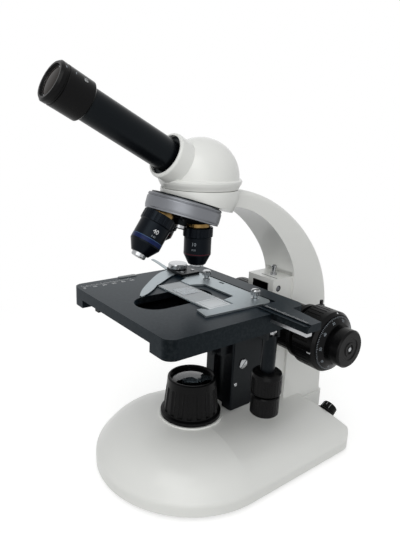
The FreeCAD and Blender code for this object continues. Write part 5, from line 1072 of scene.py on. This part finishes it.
@dataclass
class StageTrim:
    """Scales, vernier, small screws and the glass slide's parts."""

    shop: Workshop
    joints: Joints
    line_width: float = 0.16 * MM
    raised: float = 0.04 * MM
    numeral: float = 3.4 * MM
    scale_front: float = -77.0 * MM
    scale_end: float = -69.0 * MM
    bar_top: float = 170.6 * MM
    bar_scale_start: float = 62.0 * MM
    bar_scale_front: float = 26.4 * MM
    label_gap: float = 1.0 * MM
    label_width: float = 20.0 * MM
    label_margin: float = 1.2 * MM
    outline_inset: float = 2.2 * MM
    outline_width: float = 0.35 * MM
    cover_centre: float = 26.0 * MM
    cover_half: float = 9.0 * MM
    cover_border: float = 4.0 * MM
    plate_corner: float = 2.9 * MM
    plate_width: float = 6.2 * MM
    plate_overhang: float = 0.8 * MM
    plate_span: tuple[float, float] = (-35.3 * MM, -14.6 * MM)

    def scale_line(self, x0: float, x1: float, y: float, z: float) -> bpy.types.Mesh:
        """Return one graduation that runs along X."""
        half = self.line_width * 0.5
        return self.shop.slab("line", self.shop.rectangle(x0, x1, y - half, y + half), z, z + self.raised)

    def left_scale(self) -> None:
        """Lay the white lengthwise scale along the left of the stage."""
        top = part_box("upper_stage_plate")[1].z
        meshes = []
        for index in range(53):
            start = self.scale_end - graded(index, 5.0, 3.6, 2.4) * MM
            meshes.append(self.scale_line(start, self.scale_end, self.scale_front + index * MM, top))
        for index in range(0, 53, 10):
            digits = self.shop.words(str(index), self.numeral, self.raised)
            spot = Vector((self.scale_end + 3.4 * MM, self.scale_front + index * MM, top))
            digits.transform(framed(spot, Vector((0.0, 1.0, 0.0)), Vector((-1.0, 0.0, 0.0))))
            meshes.append(digits)
        self.shop.group("lengthwise_scale", meshes, "upper_stage", Look.MARKING)

    def bar_scale(self) -> None:
        """Lay the crosswise scale on the bar."""
        top, front = self.bar_top, self.bar_scale_front
        meshes = []
        half = self.line_width * 0.5
        for index in range(46):
            x = self.bar_scale_start + index * MM
            outline = self.shop.rectangle(x - half, x + half, front, front + graded(index, 3.4, 2.6, 1.8) * MM)
            meshes.append(self.shop.slab("line", outline, top, top + self.raised))
        self.shop.group("crosswise_scale", meshes, "cross_slide", Look.MARKING)

    def slide_parts(self) -> None:
        """Put the label, its printed outline and the cover glass on the slide."""
        low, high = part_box("specimen_slide")
        gap, margin, border, cover_half = self.label_gap, self.label_margin, self.cover_border, self.cover_half
        label = self.shop.rectangle(high.x - gap - self.label_width, high.x - gap, low.y + margin, high.y - margin)
        self.shop.piece("slide_label", self.shop.slab("slide_label", label, high.z, high.z + 0.10 * MM, 0.03 * MM),
                        "cross_slide", Look.LABEL)
        edge, width = self.outline_inset, self.outline_width
        x0, x1 = label[0][0] + edge, label[1][0] - edge
        y0, y1 = label[0][1] + edge, label[2][1] - edge
        sides = ((x0, x1, y0, y0 + width), (x0, x1, y1 - width, y1), (x0, x0 + width, y0, y1),
                 (x1 - width, x1, y0, y1))
        frame = [self.shop.slab("line", self.shop.rectangle(*side), high.z + 0.08 * MM, high.z + 0.12 * MM)
                 for side in sides]
        self.shop.group("label_outline", frame, "cross_slide", Look.LABEL_LINE)
        middle_x = low.x + self.cover_centre
        cover = self.shop.rectangle(middle_x - cover_half, middle_x + cover_half, low.y + border, high.y - border)
        self.shop.piece("cover_glass", self.shop.slab("cover_glass", cover, high.z + 0.02 * MM, high.z + 0.19 * MM),
                        "cross_slide", Look.COVER)

    def small_screws(self) -> None:
        """Set the small screws that show on the housing, the bracket and the bridge."""
        side = Vector((1.0, 0.0, 0.0))
        for name, node, body, inset, y, z, radius, height, turn, look in (
                ("gib_screw", "focus_housing", "stand", 0.8, 7.5, 162.9, 2.2, 0.8, 0.7, Look.RING),
                ("bracket_screw", "stage_bracket", "stage_carrier", 0.0, 13.5, 94.0, 5.0, 1.4, 0.8, Look.CHROME),
                ("bracket_small_screw", "stage_bracket", "stage_carrier", 0.0, 5.0, 74.0, 1.9, 0.8, 0.3,
                 Look.CHROME)):
            low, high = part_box(node)
            self.screw(name, body, Vector((high.x - inset * MM, low.y + y * MM, z * MM)), side, radius * MM,
                       height * MM, turn, look)
        bridge_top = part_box("finger_bridge")[1].z
        for number, (x, y) in enumerate(((-50.5, 22.6), (-52.0, 36.6))):
            self.screw(f"bridge_screw_{number + 1}", "cross_slide", Vector((x * MM, y * MM, bridge_top)),
                       Vector((0.0, 0.0, 1.0)), 1.9 * MM, 0.9 * MM, 0.5 + number, Look.CHROME)

    def screw(self, name: str, body: str, spot: Vector, out: Vector, radius: float, height: float, turn: float,
              look: Look) -> None:
        """Set one slotted screw head on a face."""
        mesh = SlottedScrew(radius, height, radius * 0.26).mesh(name)
        self.shop.piece(name, mesh, body, look, aim(spot - out * (height * 0.2), out, turn))

    def index_plate(self) -> None:
        """Lay the low rounded vernier plate on the stage's left edge."""
        low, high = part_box("upper_stage_plate")
        corner, steps = self.plate_corner, 6
        x0 = low.x - self.plate_overhang
        x1 = x0 + self.plate_width
        y0, y1 = self.plate_span
        outline = []
        for x, y, start in ((x1, y1, 0.0), (x0, y1, 0.5), (x0, y0, 1.0), (x1, y0, 1.5)):
            centre = (x - math.copysign(corner, x - (x0 + x1) / 2), y - math.copysign(corner, y - (y0 + y1) / 2))
            for step in range(steps + 1):
                angle = math.pi * (start + 0.5 * step / steps)
                outline.append((centre[0] + corner * math.cos(angle), centre[1] + corner * math.sin(angle)))
        mesh = self.shop.slab("stage_index", outline, high.z - 0.6 * MM, high.z + 0.6 * MM, 0.3 * MM)
        self.shop.piece("stage_index", mesh, "upper_stage", Look.INDEX_GREY)

    def build(self) -> None:
        """Make every part of the stage's trim."""
        self.left_scale()
        self.bar_scale()
        self.slide_parts()
        self.small_screws()
        self.index_plate()


@dataclass
class RearControls:
    """Marks on the brightness knob and on the switch."""

    shop: Workshop
    joints: Joints
    knob_radius: float = 8.1 * MM
    line_half: float = 0.14 * MM
    line_start: float = 4.0 * MM
    line_length: float = 6.0 * MM
    dot_radius: float = 0.8 * MM
    sign_height: float = 2.6 * MM

    def knob_marks(self) -> None:
        """Put the white dot and the lines round the brightness knob."""
        origin = self.joints.point("brightness_turn")
        axis = self.joints.axis("brightness_turn")
        place = aim(origin, axis)
        meshes = []
        for index in range(9):
            angle = math.radians(-120.0 + 30.0 * index)
            out = Vector((math.cos(angle), math.sin(angle), 0.0))
            strip = self.shop.rectangle(-self.line_half, self.line_half, 0.0, self.line_length)
            line = self.shop.slab("line", strip, 0.0, 0.08 * MM)
            line.transform(framed(out * self.knob_radius + Vector((0.0, 0.0, self.line_start)),
                                  Vector((-out.y, out.x, 0.0)), Vector((0.0, 0.0, 1.0))))
            meshes.append(line)
        dot = self.shop.lathe("dot", [(self.dot_radius, 0.0), (self.dot_radius, 0.15 * MM), (0.0, 0.2 * MM)], 20)
        dot.transform(Matrix.Translation((0.0, -9.2 * MM, 1.55 * MM)))
        meshes.append(dot)
        self.shop.group("brightness_marks", meshes, "dimmer", Look.MARKING, place)

    def switch_marks(self) -> None:
        """Put the on and off signs on the switch's key."""
        low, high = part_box("switch_rocker")
        axis = self.joints.axis("brightness_turn")
        centre = (low + high) * 0.5
        along = Vector((1.0, 0.0, 0.0))
        across = axis.cross(along)
        for name, text, shift, lift in (("switch_on", "I", 4.4, 2.35), ("switch_off", "O", -4.4, 1.15)):
            mesh = self.shop.words(text, self.sign_height, 0.05 * MM)
            surface = self.joints.point("power_rock") + axis * ((1.0 + lift) * MM)
            spot = Vector((centre.x, surface.y, surface.z)) + along * (shift * MM)
            mesh.transform(framed(spot, along, across))
            self.shop.piece(name, mesh, "rocker", Look.MARKING)

    def build(self) -> None:
        """Make the marks."""
        self.knob_marks()
        self.switch_marks()


# Studio

# Name, place, size, power in watts and colour of each lamp
LAMPS = (("key", (0.45, -0.85, 1.35), 0.9, 5.5, (1.0, 0.995, 0.98)),
         ("fill", (1.1, -0.9, 0.6), 1.2, 6.5, (1.0, 1.0, 0.99)),
         ("rim", (-1.15, 0.95, 0.65), 1.0, 0.9, (0.96, 0.98, 1.0)))


@dataclass
class Studio:
    """The floor, the lights and the camera."""

    focal_px: float = 508.74
    frame_height_px: int = 533
    sensor: float = 36.0
    bearing: float = math.radians(50.82)
    pitch: float = math.radians(15.47)
    roll: float = math.radians(2.5)
    position: tuple[float, float, float] = (0.34268, -0.27531, 0.31595)
    sky: float = 0.52
    floor_lift: float = 0.62
    shadow_reach: float = 0.20
    white_reach: float = 0.50
    floor_half: float = 6.0

    @staticmethod
    def seen(graph: Graph) -> bpy.types.NodeSocket:
        """Return 1 for the rays that see the background: camera, mirror and glass rays."""
        path = graph.add("ShaderNodeLightPath")
        mirrored = graph.sum("MAXIMUM", path.outputs["Is Camera Ray"], path.outputs["Is Glossy Ray"])
        return graph.sum("MAXIMUM", mirrored, path.outputs["Is Transmission Ray"])

    def floor(self) -> None:
        """Lay a wide white floor that keeps the shadow near the object and is plain white further off."""
        mesh = bpy.data.meshes.new("floor")
        half = self.floor_half
        mesh.from_pydata([(-half, -half, 0.0), (half, -half, 0.0), (half, half, 0.0), (-half, half, 0.0)], [],
                         [(0, 1, 2, 3)])
        floor = bpy.data.objects.new("floor", mesh)
        bpy.context.scene.collection.objects.link(floor)
        material = bpy.data.materials.new("studio_floor")
        material.use_nodes = True
        shader = material.node_tree.nodes["Principled BSDF"]
        for name, value in (("Base Color", (0.60, 0.60, 0.59, 1.0)), ("Roughness", 0.9),
                            ("Specular IOR Level", 0.1)):
            shader.inputs[name].default_value = value
        graph = Graph(material.node_tree)
        seen = self.seen(graph)
        lift = graph.add("ShaderNodeEmission", {"Color": (1.0, 1.0, 1.0, 1.0), "Strength": self.floor_lift})
        lifted = graph.add("ShaderNodeAddShader", {0: shader.outputs[0], 1: lift.outputs[0]})
        white = graph.add("ShaderNodeEmission", {"Color": (1.0, 1.0, 1.0, 1.0), "Strength": 1.0})
        distance = graph.add("ShaderNodeVectorMath", {0: graph.place()}, operation="LENGTH").outputs["Value"]
        far = graph.ramp(distance, self.shadow_reach, self.white_reach)
        shown = graph.add("ShaderNodeMixShader", {0: far, 1: lifted.outputs[0], 2: white.outputs[0]})
        total = graph.add("ShaderNodeMixShader", {0: seen, 1: shader.outputs[0], 2: shown.outputs[0]})
        graph.join(total.outputs[0], material.node_tree.nodes["Material Output"].inputs["Surface"])
        floor.data.materials.append(material)

    def world(self) -> None:
        """Surround the scene with soft light, white where it is seen."""
        world = bpy.data.worlds.new("studio")
        bpy.context.scene.world = world
        world.use_nodes = True
        graph = Graph(world.node_tree)
        back = world.node_tree.nodes["Background"]
        back.inputs["Color"].default_value = (0.98, 0.99, 1.0, 1.0)
        back.inputs["Strength"].default_value = self.sky
        white = graph.add("ShaderNodeBackground", {"Color": (1.0, 1.0, 1.0, 1.0), "Strength": 1.0})
        mix = graph.add("ShaderNodeMixShader", {0: self.seen(graph), 1: back.outputs[0], 2: white.outputs[0]})
        graph.join(mix.outputs[0], world.node_tree.nodes["World Output"].inputs["Surface"])

    @staticmethod
    def lamp(name: str, spot: Vector, target: Vector, size: float, power: float, color: Colour) -> None:
        """Hang one square soft lamp."""
        light = bpy.data.lights.new(name, "AREA")
        light.shape = "SQUARE"
        light.size = size
        light.energy = power
        light.color = color
        lamp = bpy.data.objects.new(name, light)
        lamp.location = spot
        lamp.rotation_euler = (target - spot).to_track_quat("-Z", "Y").to_euler()
        bpy.context.scene.collection.objects.link(lamp)

    def lights(self) -> None:
        """Hang the key, fill and rim lamps."""
        target = Vector((0.0, 0.03, 0.15))
        for name, spot, size, power, color in LAMPS:
            self.lamp(name, Vector(spot), target, size, power, color)

    def camera(self) -> None:
        """Place the camera at the photograph's point of view."""
        data = bpy.data.cameras.new("camera")
        data.sensor_fit = "VERTICAL"
        data.sensor_height = self.sensor
        data.sensor_width = self.sensor
        data.lens = self.focal_px / self.frame_height_px * self.sensor
        data.clip_start = 0.01
        data.clip_end = 50.0
        camera = bpy.data.objects.new("camera", data)
        ahead = Vector((-math.sin(self.bearing) * math.cos(self.pitch),
                        math.cos(self.bearing) * math.cos(self.pitch), -math.sin(self.pitch)))
        right = Vector((math.cos(self.bearing), math.sin(self.bearing), 0.0))
        up = right.cross(ahead)
        tilted_right = right * math.cos(self.roll) + up * math.sin(self.roll)
        tilted_up = up * math.cos(self.roll) - right * math.sin(self.roll)
        turn = Matrix((tilted_right, tilted_up, -ahead)).transposed().to_4x4()
        camera.matrix_world = Matrix.Translation(self.position) @ turn
        bpy.context.scene.collection.objects.link(camera)
        bpy.context.scene.camera = camera

    def build(self) -> None:
        """Set up the whole studio."""
        bpy.context.scene.view_settings.view_transform = "Standard"
        self.camera()
        self.floor()
        self.world()
        self.lights()


def main() -> None:
    """Load the frame, dress it, add the trim and set up the studio."""
    logging.basicConfig(level=logging.INFO, format="%(message)s")
    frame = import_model()
    joints = Joints(frame["joints"])
    wardrobe = Wardrobe()
    shop = Workshop(wardrobe)
    Studio().build()
    wardrobe.dress_nodes(frame["nodes"])
    for group in (Objectives(shop, joints), EyepieceTrim(shop, joints), FocusDials(shop, joints),
                  StageTrim(shop, joints), RearControls(shop, joints)):
        group.build()
        LOG.info("built %s", type(group).__name__)


if __name__ == "__main__":
    main()
